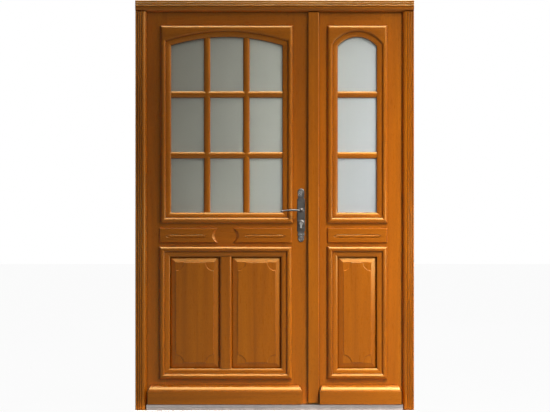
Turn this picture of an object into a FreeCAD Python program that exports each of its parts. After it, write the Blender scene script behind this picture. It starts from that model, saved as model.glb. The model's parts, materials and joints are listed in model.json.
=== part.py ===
import FreeCAD, Part
import math
import os
import re
import Sketcher

# Glazed wooden entrance door with one fixed glazed leaf beside it.
# X runs to the right, Y runs into the house, Z runs up.
# The origin is at the middle of the threshold's underside.

document = FreeCAD.newDocument("entrance_door")

# Middle of a quarter round, as a part of its radius: from the square corner and from the ends
QUARTER = 1 - 0.5 ** 0.5
OUTER = 0.5 ** 0.5

# Driving sizes in millimetres: name, value, what it measures
SIZES = (
    ("frame_height", 2200, "underside of the threshold to the top of the head"),
    ("frame_face", 60, "face width of jambs and head"),
    ("rebate_width", 18, "how far the rebate goes in behind the stop"),
    ("stop_depth", 22, "thickness of the stop in front of the leaves"),
    ("reed_pitch", 11.5, "reeds on the outer part of the frame's face"),
    ("reed_depth", 3, "grooves between the reeds"),
    ("leaf_thickness", 45, "stiles and rails, front to back"),
    ("leaf_clearance", 5, "leaf edge to frame"),
    ("stop_clearance", 5, "leaf face to the back of the stop"),
    ("bottom_clearance", 6, "leaf to the threshold's base"),
    ("door_leaf_width", 899, "outer face of the opening leaf"),
    ("side_leaf_width", 490, "outer face of the narrow leaf"),
    ("meeting_gap", 7, "between the two leaves"),
    ("meeting_lap", 18, "inner lip of the opening leaf"),
    ("sill_thickness", 12, "base plate of the threshold"),
    ("sill_nose", 24, "threshold in front of the frame"),
    ("upstand_height", 26, "threshold's stop above its base"),
    ("drain_height", 9, "slot in the front of the upstand"),
    ("drain_depth", 6, "slot in the front of the upstand"),
    ("door_hinge_margin", 85.5, "leaf edge to the mouldings"),
    ("door_lock_margin", 102.5, "leaf edge to the mouldings"),
    ("side_lock_margin", 74, "leaf edge to the mouldings"),
    ("side_hinge_margin", 93, "leaf edge to the mouldings"),
    ("panel_shift", 6, "panels and blocks of the wide leaf, towards its hinges"),
    ("top_margin", 85, "leaf top to the glazing moulding"),
    ("glazing_height_above_sill", 1008, "lower edge of the glazing moulding"),
    ("crown_drop", 60, "moulding top to the crown of the glass"),
    ("door_arch_rise", 45.5, "crown above the spring of the wide arch"),
    ("side_arch_rise", 51, "crown above the spring of the narrow arch"),
    ("moulding_width", 56, "raised moulding, outer edge to sight edge"),
    ("moulding_lap", 36, "how far it lies over stiles and rails"),
    ("moulding_rise", 18, "how far it stands out of the leaf"),
    ("moulding_edge", 3, "upright outer edge of the moulding"),
    ("crest_width", 11, "flat crest of the moulding"),
    ("groove_width", 6, "groove beside the crest"),
    ("groove_depth", 5, "groove beside the crest"),
    ("moulding_quirk", 1, "inner round of the moulding below the crest"),
    ("arch_margin", 0.8, "flat edge of the arch beside its round"),
    ("infill_setback", 13, "leaf face back to glass and panels"),
    ("pane_thickness", 4, "one pane"),
    ("pane_gap", 12, "between the two panes"),
    ("glass_play", 4, "glass edge to its opening"),
    ("spacer_width", 9, "bar between the panes, seen from the front"),
    ("bar_width", 35, "glazing bar"),
    ("bar_rise", 12, "glazing bar above the glass"),
    ("bar_round", 9, "rounded side of the glazing bar"),
    ("glue_line", 0.2, "between pieces that are glued together"),
    ("panel_trim_base", 171, "lower edge of the panel moulding"),
    ("panel_trim_top", 884, "upper edge of the panel moulding"),
    ("panel_play", 1, "panel edge to its opening"),
    ("panel_plate", 20, "thickness of the panel at its edge"),
    ("panel_bevel", 30, "sloping border of the raised panel"),
    ("panel_rise", 12, "field above the edge of the panel"),
    ("scallop_radius", 44, "hollow corner of the raised field"),
    ("scallop_depth", 4, "hollow corner below the field"),
    ("muntin_width", 67, "upright between the two panels"),
    ("muntin_web", 40, "its middle, between the panels"),
    ("muntin_bevel", 16, "its rounded sides"),
    ("frieze_base", 901, "lower edge of the raised blocks"),
    ("frieze_height", 82, "raised blocks"),
    ("frieze_rise", 10, "raised blocks above the leaf"),
    ("frieze_bevel", 5, "sloping edge of the blocks"),
    ("frieze_gap", 78, "between the tips of the hollow ends"),
    ("frieze_hollow", 30, "depth of the hollow ends at the front"),
    ("frieze_hollow_foot", 9, "depth of the hollow ends at the leaf"),
    ("flute_width", 14, "long groove in the blocks"),
    ("flute_depth", 3, "long groove in the blocks"),
    ("flute_inset", 36, "end of the groove to the end of the block"),
    ("flute_rise", 38, "middle of the groove above the block's foot"),
    ("flute_rib", 5, "rib along the middle of the groove"),
    ("drip_base", 43, "underside of the drip bars"),
    ("drip_height", 96, "drip bars"),
    ("drip_reach", 42, "drip bars in front of the leaf"),
    ("drip_face", 68, "upright face of the drip bars"),
    ("drip_return", 15, "sloping ends of the drip bars"),
    ("drip_quirk", 4, "fine step above the upright face"),
    ("drip_jamb_gap", 9, "drip bar to the jamb's edge"),
    ("drip_batten_gap", 33, "wide drip bar to the batten"),
    ("side_drip_gap", 3, "narrow drip bar to the batten"),
    ("batten_width", 60, "upright cover of the joint between the leaves"),
    ("batten_thickness", 18, "in front of the leaf"),
    ("batten_lap", 23, "over the opening leaf"),
    ("batten_top_gap", 4, "below the head"),
    ("batten_base", 48, "foot of the batten above the sill"),
    ("batten_round", 6, "rounded edges of the batten"),
    ("hinge_height", 120, "each hinge"),
    ("hinge_radius", 7, "knuckle"),
    ("hinge_flap", 3, "flap thickness"),
    ("hinge_flap_width", 34, "flap beside the knuckle"),
    ("hinge_standoff", 8, "pin in front of the leaf's inner face"),
    ("hinge_joint", 0.4, "between the knuckles"),
    ("hinge_low", 230, "middle of the lowest hinge above the sill"),
    ("hinge_drop", 193, "leaf top to the middle of the highest hinge"),
    ("spindle_across", 59, "leaf edge to the handle's spindle"),
    ("spindle_height", 1076, "spindle above the sill"),
    ("spindle_size", 8, "across the square of the spindle"),
    ("spindle_passage", 20, "hole through the stile"),
    ("spindle_hub", 13, "hole through plates and lock case"),
    ("cylinder_drop", 70, "spindle to the lock cylinder"),
    ("cylinder_size", 17, "round part of the cylinder"),
    ("cylinder_tail", 10, "width of its lower part"),
    ("cylinder_height", 33, "cylinder from top to bottom"),
    ("cylinder_play", 0.3, "round the cylinder"),
    ("cylinder_proud", 6, "cylinder in front of the plate"),
    ("keyway_width", 2.4, "slot for the key"),
    ("keyway_height", 9, "slot for the key"),
    ("keyway_depth", 12, "slot for the key"),
    ("plate_width", 43, "handle plate"),
    ("plate_height", 287, "handle plate"),
    ("plate_thickness", 4, "handle plate"),
    ("plate_above_spindle", 118, "spindle to the top of the plate"),
    ("rosette_width", 26, "raised ring round the spindle"),
    ("rosette_rise", 2, "raised ring round the spindle"),
    ("escutcheon_width", 41, "raised ring round the cylinder"),
    ("escutcheon_rise", 4, "raised ring round the cylinder"),
    ("lever_reach", 112, "spindle to the tip of the lever"),
    ("lever_standoff", 50, "leaf face to the middle of the lever"),
    ("lever_thickness", 11, "lever at its root"),
    ("lever_waist", 8, "lever at its thinnest"),
    ("lever_tip", 12, "ball at the tip"),
    ("lever_droop", 4, "tip below the spindle"),
    ("lever_boss", 16, "neck of the lever"),
    ("lever_knob", 19, "ball over the neck"),
    ("lever_play", 0.3, "neck to the plate"),
    ("lock_face_width", 20, "face plate on the leaf's edge"),
    ("lock_face_height", 235, "face plate on the leaf's edge"),
    ("lock_face_thickness", 3, "face plate on the leaf's edge"),
    ("lock_case_width", 15, "case in the stile"),
    ("lock_case_height", 165, "case in the stile"),
    ("lock_case_depth", 80, "case in the stile"),
    ("bolt_plate_height", 160, "face plates of the narrow leaf's flush bolts"),
    ("bolt_plate_inset", 40, "leaf end to the bolt's face plate"),
    ("bolt_lever_height", 60, "lever in the bolt's face plate"),
    ("bolt_lever_width", 9, "lever in the bolt's face plate"),
    ("bolt_lever_rise", 1.5, "lever in front of the plate"),
)

sheet = document.addObject("Spreadsheet::Sheet", "sizes")
for row, (alias, value, note) in enumerate(SIZES, 1):
    sheet.set(f"A{row}", alias)
    sheet.set(f"B{row}", str(value))
    sheet.set(f"C{row}", note)
    sheet.setAlias(f"B{row}", alias)
document.recompute()

# Places that follow from the sizes
PLACES = (
    ("half_width", "(door_leaf_width + meeting_gap + side_leaf_width) / 2 + leaf_clearance"
                   " + frame_face - rebate_width"),
    ("frame_depth", "stop_depth + stop_clearance + leaf_thickness"),
    ("frame_front", "-frame_depth / 2"),
    ("frame_back", "frame_depth / 2"),
    ("stop_back", "frame_front + stop_depth"),
    ("leaf_face", "stop_back + stop_clearance"),
    ("jamb_edge", "half_width - frame_face"),
    ("rebate_side", "jamb_edge + rebate_width"),
    ("leaf_side", "rebate_side - leaf_clearance"),
    ("head_base", "frame_height - frame_face"),
    ("rebate_top", "head_base + rebate_width"),
    ("leaf_top", "rebate_top - leaf_clearance"),
    ("leaf_base", "sill_thickness + bottom_clearance"),
    ("upstand_top", "sill_thickness + upstand_height"),
    ("door_left", "-leaf_side"),
    ("door_right", "door_left + door_leaf_width"),
    ("door_lip", "door_right + meeting_lap"),
    ("side_left", "door_right + meeting_gap"),
    ("side_step", "door_lip + meeting_gap"),
    ("side_right", "leaf_side"),
    ("lip_face", "leaf_face + leaf_thickness / 2"),
    ("tongue_back", "lip_face - stop_clearance"),
    ("door_trim_left", "door_left + door_hinge_margin"),
    ("door_trim_right", "door_right - door_lock_margin"),
    ("side_trim_left", "side_left + side_lock_margin"),
    ("side_trim_right", "side_right - side_hinge_margin"),
    ("panel_trim_left", "door_trim_left - panel_shift"),
    ("panel_trim_right", "door_trim_right - panel_shift"),
    ("panel_open_left", "panel_trim_left + moulding_lap"),
    ("panel_open_right", "panel_trim_right - moulding_lap"),
    ("panel_sight_left", "panel_trim_left + moulding_width"),
    ("panel_sight_right", "panel_trim_right - moulding_width"),
    ("door_open_left", "door_trim_left + moulding_lap"),
    ("door_open_right", "door_trim_right - moulding_lap"),
    ("side_open_left", "side_trim_left + moulding_lap"),
    ("side_open_right", "side_trim_right - moulding_lap"),
    ("door_sight_left", "door_trim_left + moulding_width"),
    ("door_sight_right", "door_trim_right - moulding_width"),
    ("side_sight_left", "side_trim_left + moulding_width"),
    ("side_sight_right", "side_trim_right - moulding_width"),
    ("glazing_base", "glazing_height_above_sill"),
    ("glazing_top", "leaf_top - top_margin"),
    ("glass_base", "glazing_base + moulding_width"),
    ("crown", "glazing_top - crown_drop"),
    ("glazing_open_base", "glazing_base + moulding_lap"),
    ("glazing_open_top", "glazing_top - moulding_lap"),
    ("panel_base", "panel_trim_base + moulding_width"),
    ("panel_top", "panel_trim_top - moulding_width"),
    ("panel_open_base", "panel_trim_base + moulding_lap"),
    ("panel_open_top", "panel_trim_top - moulding_lap"),
    ("lock_rail_middle", "(panel_open_top + glazing_open_base) / 2"),
    ("infill_front", "leaf_face + infill_setback"),
    ("glass_back", "infill_front + 2 * pane_thickness + pane_gap"),
    ("panel_back", "infill_front + panel_plate"),
    ("pane_step", "(crown - glass_base + bar_width) / 3"),
    ("column_step", "(door_sight_right - door_sight_left + bar_width) / 3"),
    ("slope_width", "moulding_rise - moulding_edge"),
    ("groove_level", "moulding_rise - groove_depth"),
    ("crest_end", "slope_width + crest_width"),
    ("groove_end", "crest_end + groove_width"),
    ("ovolo_width", "moulding_width - groove_end"),
    ("ring_width", "moulding_width - crest_end"),
    ("muntin_middle", "(panel_sight_left + panel_sight_right) / 2"),
    ("drip_front", "leaf_face - drip_reach"),
    ("batten_left", "door_right - batten_lap"),
    ("batten_right", "batten_left + batten_width"),
    ("batten_front", "leaf_face - batten_thickness"),
    ("batten_top", "head_base - batten_top_gap"),
    ("hinge_line", "leaf_side + leaf_clearance / 2"),
    ("hinge_depth", "frame_back + hinge_standoff"),
    ("hinge_high", "leaf_top - hinge_drop"),
    ("hinge_middle", "(hinge_low + hinge_high) / 2"),
    ("spindle_line", "door_right - spindle_across"),
    ("cylinder_middle", "spindle_height - cylinder_drop"),
    ("plate_top", "spindle_height + plate_above_spindle"),
    ("plate_base", "plate_top - plate_height"),
    ("leaf_back", "frame_back"),
    ("moulding_front", "leaf_face - moulding_rise"),
    ("bead_depth", "leaf_back - glass_back"),
    ("door_spring", "crown - door_arch_rise"),
    ("side_spring", "crown - side_arch_rise"),
    ("door_middle", "(door_sight_left + door_sight_right) / 2"),
    ("side_middle", "(side_sight_left + side_sight_right) / 2"),
    ("door_half", "door_sight_right - door_middle"),
    ("side_half", "side_sight_right - side_middle"),
    ("door_radius", "(door_half^2 + door_arch_rise^2) / (2 * door_arch_rise)"),
    ("side_radius", "(side_half^2 + side_arch_rise^2) / (2 * side_arch_rise)"),
    ("door_centre", "crown - door_radius"),
    ("side_centre", "crown - side_radius"),
    ("door_shoulder", "door_centre + sqrt((door_radius + ring_width)^2"
                      " - (door_half + ring_width)^2)"),
    ("side_shoulder", "side_centre + sqrt((side_radius + ring_width)^2"
                      " - (side_half + ring_width)^2)"),
    ("frieze_top", "frieze_base + frieze_height"),
    ("drip_top", "drip_base + drip_height"),
    ("drip_arris", "drip_base + drip_face"),
    ("escutcheon_middle", "cylinder_middle + (cylinder_size - cylinder_height) / 2"),
    ("lever_gap", "plate_thickness + rosette_rise + lever_play"),
    ("lock_line", "(lip_face + leaf_back) / 2"),
    ("lock_face_top", "spindle_height + lock_face_height / 2 - cylinder_drop / 2"),
    ("lock_face_base", "lock_face_top - lock_face_height"),
    ("lock_case_top", "spindle_height + lock_case_height / 2 - cylinder_drop / 2"),
    ("lock_case_base", "lock_case_top - lock_case_height"),
)

places = document.addObject("App::VarSet", "places")
HOLDERS = {alias: "sizes" for alias, value, note in SIZES}


def bound(text):
    """Write the object that holds it before each size and place of an expression."""
    return re.sub(r"[a-z]\w+", lambda word: f"{HOLDERS[word[0]]}.{word[0]}" if word[0] in HOLDERS
                  else word[0], text)


for name, text in PLACES:
    places.addProperty("App::PropertyFloat", name)
    places.setExpression(name, bound(text))
    HOLDERS[name] = "places"
document.recompute()

NODES = []


def number(text):
    """Value of an expression with the present sizes."""
    return float(sheet.evalExpression(bound(text)))


def node(item, label):
    """Name a finished sub-part; the label also names its file."""
    item.Label = label
    NODES.append(item)
    return item


def new_body(name):
    return document.addObject("PartDesign::Body", name)


def new_sketch(body, plane, height):
    """Sketch on an origin plane of the body, moved along the world axis across that plane."""
    sketch = body.newObject("Sketcher::SketchObject", body.Name + "_sketch")
    support = [o for o in body.Origin.OriginFeatures if o.Role == plane + "_Plane"][0]
    sketch.AttachmentSupport = [(support, "")]
    sketch.MapMode = "FlatFace"
    away = f"-({height})" if plane == "XZ" else height
    sketch.setExpression("AttachmentOffset.Base.z", bound(away))
    return sketch


def fix_point(sketch, index, end, across, up):
    """Tie one point of a sketch to its two expressions."""
    for kind, text in (("DistanceX", across), ("DistanceY", up)):
        rule = sketch.addConstraint(Sketcher.Constraint(kind, -1, 1, index, end, number(text)))
        sketch.setExpression(f"Constraints[{rule}]", bound(text))


def end_at(sketch, index, place):
    """Which end of an edge lies at the place: 1 is its start, 2 its end."""
    start, finish = sketch.getPoint(index, 1), sketch.getPoint(index, 2)
    return 1 if (start - place).Length < (finish - place).Length else 2


def draw(sketch, points):
    """Closed outline of corners; a point with a third entry lies on an arc between its neighbours."""
    spots = [FreeCAD.Vector(number(p[0]), number(p[1]), 0) for p in points]
    count = len(points)
    edges = []
    for index, point in enumerate(points):
        if len(point) == 3:
            continue
        after = (index + 1) % count
        if len(points[after]) == 3:
            last = (index + 2) % count
            edge = sketch.addGeometry(Part.Arc(spots[index], spots[after], spots[last]), False)
            mark = sketch.addGeometry(Part.Point(spots[after]), True)
            fix_point(sketch, mark, 1, *points[after][:2])
            sketch.addConstraint(Sketcher.Constraint("PointOnObject", mark, 1, edge))
        else:
            last = after
            edge = sketch.addGeometry(Part.LineSegment(spots[index], spots[after]), False)
        edges.append((edge, index, last))
    for place, (edge, start, finish) in enumerate(edges):
        following = edges[(place + 1) % len(edges)][0]
        corner = spots[finish]
        joint = (edge, end_at(sketch, edge, corner), following, end_at(sketch, following, corner))
        sketch.addConstraint(Sketcher.Constraint("Coincident", *joint))
    for edge, start, finish in edges:
        fix_point(sketch, edge, end_at(sketch, edge, spots[start]), *points[start])


def circle(sketch, across, up, diameter):
    """Circle at a place, with its diameter tied to an expression."""
    centre = FreeCAD.Vector(number(across), number(up), 0)
    normal = FreeCAD.Vector(0, 0, 1)
    index = sketch.addGeometry(Part.Circle(centre, normal, number(diameter) / 2), False)
    fix_point(sketch, index, 3, across, up)
    rule = sketch.addConstraint(Sketcher.Constraint("Diameter", index, number(diameter)))
    sketch.setExpression(f"Constraints[{rule}]", bound(diameter))


def pad(body, plane, low, high, *outlines):
    """Fill outlines from low to high along the world axis across the plane."""
    sketch = new_sketch(body, plane, high if plane == "XZ" else low)
    for outline in outlines:
        draw(sketch, outline)
    feature = body.newObject("PartDesign::Pad", body.Name + "_pad")
    feature.Profile = sketch
    feature.setExpression("Length", bound(f"{high} - ({low})"))
    body.Tip = feature
    return feature


def pocket(body, plane, low, high, *outlines, circles=()):
    """Cut outlines and circles out of a body from low to high."""
    sketch = new_sketch(body, plane, high if plane == "XZ" else low)
    for outline in outlines:
        draw(sketch, outline)
    for round_hole in circles:
        circle(sketch, *round_hole)
    document.recompute()
    before = body.Shape.Volume
    feature = body.newObject("PartDesign::Pocket", body.Name + "_pocket")
    feature.Profile = sketch
    feature.Reversed = True
    feature.setExpression("Length", bound(f"{high} - ({low})"))
    body.Tip = feature
    document.recompute()
    if body.Shape.Volume >= before:
        raise ValueError(f"{body.Name}: a pocket cuts nothing")
    return feature


def turn(body, plane, height, outline, axis, angle="360"):
    """Turn an outline round an axis that runs between two places of its plane."""
    sketch = new_sketch(body, plane, height)
    ends = [FreeCAD.Vector(number(across), number(up), 0) for across, up in axis]
    line = sketch.addGeometry(Part.LineSegment(*ends), True)
    for end, (across, up) in enumerate(axis, 1):
        fix_point(sketch, line, end, across, up)
    draw(sketch, outline)
    feature = body.newObject("PartDesign::Revolution", body.Name + "_turned")
    feature.Profile = sketch
    feature.ReferenceAxis = (sketch, ["Axis0"])
    feature.Midplane = True
    feature.setExpression("Angle", bound(angle))
    body.Tip = feature
    return feature


def loft(body, plane, *stages):
    """Straight-sided solid between outlines, each given with its height."""
    sketches = []
    for height, outline in stages:
        sketches.append(new_sketch(body, plane, height))
        draw(sketches[-1], outline)
    feature = body.newObject("PartDesign::AdditiveLoft", body.Name + "_loft")
    feature.Profile = sketches[0]
    feature.Sections = sketches[1:]
    feature.Ruled = True
    body.Tip = feature
    return feature


def post(body, low, high, across, depth, diameter):
    """Upright round bar."""
    sketch = new_sketch(body, "XY", low)
    circle(sketch, across, depth, diameter)
    feature = body.newObject("PartDesign::Pad", body.Name + "_post")
    feature.Profile = sketch
    feature.setExpression("Length", bound(f"{high} - ({low})"))
    body.Tip = feature
    return feature


def disc(body, front, back, across, up, diameter):
    """Round disc that faces the front."""
    sketch = new_sketch(body, "XZ", back)
    circle(sketch, across, up, diameter)
    feature = body.newObject("PartDesign::Pad", body.Name + "_disc")
    feature.Profile = sketch
    feature.setExpression("Length", bound(f"{back} - ({front})"))
    body.Tip = feature
    return feature


def bevel(body, box, face, into, profile, foot=True):
    """Cut the edges of a squared block along insets and depths, listed from the face outwards."""
    left, right, low, high = box
    back = "-" if into == "+" else "+"

    def cut(side, inward):
        """Outline of what comes off at one side, across and in depth."""
        outward = "-" if inward == "+" else "+"
        points = [(f"{side} {inward} {inset}", f"{face} {into} ({depth})") for inset, depth in profile]
        beyond = f"{side} {outward} 1"
        return points + [(beyond, points[-1][1]), (beyond, f"{face} {back} 1"),
                         (points[0][0], f"{face} {back} 1")]

    pocket(body, "XY", f"{low} - 1", f"{high} + 1", cut(left, "+"), cut(right, "-"))
    ends = [cut(high, "-")] + ([cut(low, "+")] if foot else [])
    pocket(body, "YZ", f"{left} - 1", f"{right} + 1",
           *[[(depth, up) for up, depth in outline] for outline in ends])


def polygon(across, up, radius, count):
    """Regular outline of straight facets round a centre, with a facet at its top and foot."""
    turns = [math.radians(360 / count * (facet + 0.5)) for facet in range(count)]
    return [(f"{across} + {radius} * ({math.cos(turn):.6f})",
             f"{up} + {radius} * ({math.sin(turn):.6f})") for turn in turns]


def rectangle(left, right, low, high):
    return [(left, low), (right, low), (right, high), (left, high)]


def slab(label, left, right, front, back, low, high):
    """Plain squared timber or plate."""
    body = new_body(label)
    pad(body, "XZ", front, back, rectangle(left, right, low, high))
    return body


def gather(label, parts):
    """Like pieces that share a node."""
    group = document.addObject("Part::Compound", label)
    group.Links = parts
    return node(group, label)


# Threshold: base plate under the jambs, upstand with a drain slot between them

threshold = new_body("threshold")
sill_front = "frame_front - sill_nose"
nose = "sill_thickness / 2"
pad(threshold, "YZ", "-half_width", "half_width",
    [(f"{sill_front} + {nose}", "0"), ("frame_back", "0"), ("frame_back", "sill_thickness"),
     (f"{sill_front} + {nose}", "sill_thickness"), (sill_front, nose, "via")])
pad(threshold, "YZ", "-jamb_edge", "jamb_edge",
    [("frame_front", "sill_thickness / 2"), ("stop_back", "sill_thickness / 2"),
     ("stop_back", "upstand_top"), ("frame_front", "upstand_top"),
     ("frame_front", "(sill_thickness + upstand_top + drain_height) / 2"),
     ("frame_front + drain_depth", "(sill_thickness + upstand_top + drain_height) / 2"),
     ("frame_front + drain_depth", "(sill_thickness + upstand_top - drain_height) / 2"),
     ("frame_front", "(sill_thickness + upstand_top - drain_height) / 2")])
node(threshold, "threshold")

# Frame: rebated jambs and head, reeded, with a quarter round on the inner edge of the stop

def frame_face_profile():
    """Reeds and quarter round as distance from the outer edge and depth behind the front."""
    points = [("0", "reed_depth")]
    for reed in range(3):
        points += [(f"({reed} + 0.5) * reed_pitch", "0", "via"),
                   (f"({reed} + 1) * reed_pitch", "reed_depth")]
    points += [("3 * reed_pitch + 1", "0"), ("frame_face - stop_depth", "0"),
               (f"frame_face - stop_depth * {QUARTER}", f"stop_depth * {QUARTER}", "via"),
               ("frame_face", "stop_depth")]
    return points


def jamb(label, side):
    """Rebated post; side is -1 at the left and 1 at the right."""
    body = new_body(label)
    outer, rebate = f"{side} * half_width", f"{side} * rebate_side"
    section = [(f"{side} * (half_width - ({across}))", f"frame_front + {depth}", *via)
               for across, depth, *via in frame_face_profile()]
    section += [(rebate, "stop_back"), (rebate, "frame_back"), (outer, "frame_back")]
    pad(body, "XY", "sill_thickness", "head_base", section)
    pad(body, "XY", "head_base", "rebate_top",
        rectangle(outer, rebate, "stop_back", "frame_back"))
    return node(body, label)


jamb("frame_jamb_left", -1)
jamb("frame_jamb_right", 1)

frame_head = new_body("frame_head")
head_section = [(f"frame_front + {depth}", f"frame_height - ({across})", *via)
                for across, depth, *via in frame_face_profile()]
pad(frame_head, "YZ", "-half_width", "half_width",
    head_section + [("stop_back", "rebate_top"), ("frame_back", "rebate_top"),
                    ("frame_back", "frame_height")])
node(frame_head, "frame_head")

# Leaves: stiles from top to bottom, rails between them

LEAVES = ("door", "side")

door_stile_hinge = slab("door_stile_hinge", "door_left", "panel_open_left", "leaf_face",
                        "leaf_back", "leaf_base", "lock_rail_middle")
pad(door_stile_hinge, "XZ", "leaf_face", "leaf_back",
    rectangle("door_left", "door_open_left", "lock_rail_middle", "leaf_top"))
node(door_stile_hinge, "door_stile_hinge")
side_stile_hinge = slab("side_stile_hinge", "side_open_right", "side_right", "leaf_face",
                        "leaf_back", "leaf_base", "leaf_top")
node(side_stile_hinge, "side_stile_hinge")

door_stile_lock = new_body("door_stile_lock")
pad(door_stile_lock, "XY", "leaf_base", "leaf_top",
    [("door_open_right", "leaf_face"), ("door_right", "leaf_face"), ("door_right", "lip_face"),
     ("door_lip", "lip_face"), ("door_lip", "leaf_back"), ("door_open_right", "leaf_back")])
pad(door_stile_lock, "XZ", "leaf_face", "leaf_back",
    rectangle("panel_open_right", "door_open_right", "leaf_base", "lock_rail_middle"))
lock_left = "door_lip - lock_face_thickness - lock_case_depth"
lock_front = "lock_line - lock_face_width / 2"
lock_back = "lock_line + lock_face_width / 2"
pocket(door_stile_lock, "YZ", "door_lip - lock_face_thickness", "door_lip",
       rectangle(lock_front, lock_back, "lock_face_base", "lock_face_top"))
pocket(door_stile_lock, "YZ", lock_left, "door_lip - lock_face_thickness",
       rectangle("lock_line - lock_case_width / 2", "lock_line + lock_case_width / 2",
                 "lock_case_base", "lock_case_top"))


def cylinder_outline(play):
    """Profile of the lock cylinder: a circle over a narrower tail."""
    radius = f"(cylinder_size / 2 + {play})"
    half_tail = f"(cylinder_tail / 2 + {play})"
    foot = f"cylinder_middle + cylinder_size / 2 - cylinder_height - {play}"
    shoulder = f"cylinder_middle - sqrt({radius}^2 - {half_tail}^2)"
    left, right = f"spindle_line - {half_tail}", f"spindle_line + {half_tail}"
    top = f"cylinder_middle + {radius}"
    return [(left, foot), (right, foot), (right, shoulder), ("spindle_line", top, "via"),
            (left, shoulder)]


pocket(door_stile_lock, "XZ", "leaf_face", "leaf_back", cylinder_outline("cylinder_play"),
       circles=[("spindle_line", "spindle_height", "spindle_passage")])
node(door_stile_lock, "door_stile_lock")

side_stile_meeting = new_body("side_stile_meeting")
pad(side_stile_meeting, "XY", "leaf_base", "leaf_top",
    [("side_left", "leaf_face"), ("side_open_left", "leaf_face"), ("side_open_left", "leaf_back"),
     ("side_step", "leaf_back"), ("side_step", "tongue_back"), ("side_left", "tongue_back")])
RECESSES = (("lock_face_base", "lock_face_top"),
            ("leaf_base + bolt_plate_inset", "leaf_base + bolt_plate_inset + bolt_plate_height"),
            ("leaf_top - bolt_plate_inset - bolt_plate_height", "leaf_top - bolt_plate_inset"))
for low, high in RECESSES:
    pocket(side_stile_meeting, "YZ", "side_step", "side_step + lock_face_thickness",
           rectangle("lock_line - lock_face_width / 2", "lock_line + lock_face_width / 2", low, high))
node(side_stile_meeting, "side_stile_meeting")

OPENINGS = {"door": (("panel_open_left", "panel_open_right"), ("door_open_left", "door_open_right")),
            "side": (("side_open_left", "side_open_right"), ("side_open_left", "side_open_right"))}
for leaf, (below, above) in OPENINGS.items():
    rail = slab(f"{leaf}_rail_top", *above, "leaf_face", "leaf_back", "glazing_open_top", "leaf_top")
    node(rail, f"{leaf}_rail_top")
    rail = slab(f"{leaf}_rail_lock", *below, "leaf_face", "leaf_back", "panel_open_top",
                "lock_rail_middle")
    pad(rail, "XZ", "leaf_face", "leaf_back",
        rectangle(*above, "lock_rail_middle", "glazing_open_base"))
    node(rail, f"{leaf}_rail_lock")
    rail = slab(f"{leaf}_rail_bottom", *below, "leaf_face", "leaf_back", "leaf_base",
                "panel_open_base")
    node(rail, f"{leaf}_rail_bottom")

# Raised mouldings: mitred members that lie over the leaf and reach back to glass or panel

SLOPE = [("0", "moulding_edge"),
         (f"slope_width * {QUARTER}", f"moulding_rise - slope_width * {QUARTER}", "via"),
         ("slope_width", "moulding_rise")]
OVOLO = [("groove_end", "groove_level"), ("groove_end", "moulding_rise - moulding_quirk"),
         (f"groove_end + ovolo_width * {OUTER}", f"moulding_rise * {OUTER}", "via"),
         ("moulding_width", "0")]
SECTION = [("0", "0"), *SLOPE, ("crest_end", "moulding_rise"), ("crest_end", "groove_level"), *OVOLO,
           ("moulding_width", "-infill_setback"), ("moulding_lap", "-infill_setback"),
           ("moulding_lap", "0")]
BEAD = [("moulding_lap", "0"), ("moulding_width", "0"), ("moulding_width", "bead_depth / 2"),
        (f"moulding_width - bead_depth / 2 * {QUARTER}", f"bead_depth - bead_depth / 2 * {QUARTER}",
         "via"),
        ("moulding_width - bead_depth / 2", "bead_depth"), ("moulding_lap", "bead_depth")]


def member(name, section, side, frame, datum, outward):
    """One mitred member of a rectangular moulding.

    The section runs from the outer edge inwards and from the datum outwards.
    """
    left, right, low, high = frame
    body = new_body(name)
    if side in ("left", "right"):
        edge = left + " + " if side == "left" else right + " - "
        outline = [(f"{edge}({p[0]})", f"{datum} {outward} ({p[1]})", *p[2:]) for p in section]
        pad(body, "XY", low, high, outline)
    else:
        edge = low + " + " if side == "bottom" else high + " - "
        outline = [(f"{datum} {outward} ({p[1]})", f"{edge}({p[0]})", *p[2:]) for p in section]
        pad(body, "YZ", left, right, outline)
    return body


def moulding(prefix, section, frame, datum, outward, front, back, sides):
    """Members of a moulding with mitred ends, a glue line apart."""
    left, right, low, high = frame
    reach = "(moulding_width + 1)"
    bodies = []
    for side in sides:
        body = member(f"{prefix}_{side}", section, side, frame, datum, outward)
        cuts = []
        for x_edge, x_in, x_out, across in ((left, "+", "-", "left"), (right, "-", "+", "right")):
            for z_edge, z_in, z_out, up in ((low, "+", "-", "bottom"), (high, "-", "+", "top")):
                if side not in (across, up) or up not in sides:
                    continue
                if side == across:
                    cuts.append([(x_edge, f"{z_edge} {z_in} glue_line"),
                                 (f"{x_edge} {x_in} {reach}",
                                  f"{z_edge} {z_in} ({reach} + glue_line)"),
                                 (f"{x_edge} {x_in} {reach}", f"{z_edge} {z_out} 1"),
                                 (x_edge, f"{z_edge} {z_out} 1")])
                else:
                    cuts.append([(f"{x_edge} {x_in} glue_line", z_edge),
                                 (f"{x_edge} {x_in} ({reach} + glue_line)",
                                  f"{z_edge} {z_in} {reach}"),
                                 (f"{x_edge} {x_out} 1", f"{z_edge} {z_in} {reach}"),
                                 (f"{x_edge} {x_out} 1", z_edge)])
        pocket(body, "XZ", front, back, *cuts)
        bodies.append(body)
    return bodies


def arched_bead(name, leaf, front, back):
    """Board behind the arch of a glazing moulding, with an arched lower edge."""
    body = new_body(name)
    foot = f"{leaf}_spring + glue_line"
    pad(body, "XZ", front, back,
        [(f"{leaf}_open_left", foot), (f"{leaf}_open_left", "glazing_open_top"),
         (f"{leaf}_open_right", "glazing_open_top"), (f"{leaf}_open_right", foot),
         (f"{leaf}_sight_right", foot), (f"{leaf}_middle", "crown", "via"),
         (f"{leaf}_sight_left", foot)])
    return body


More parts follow.
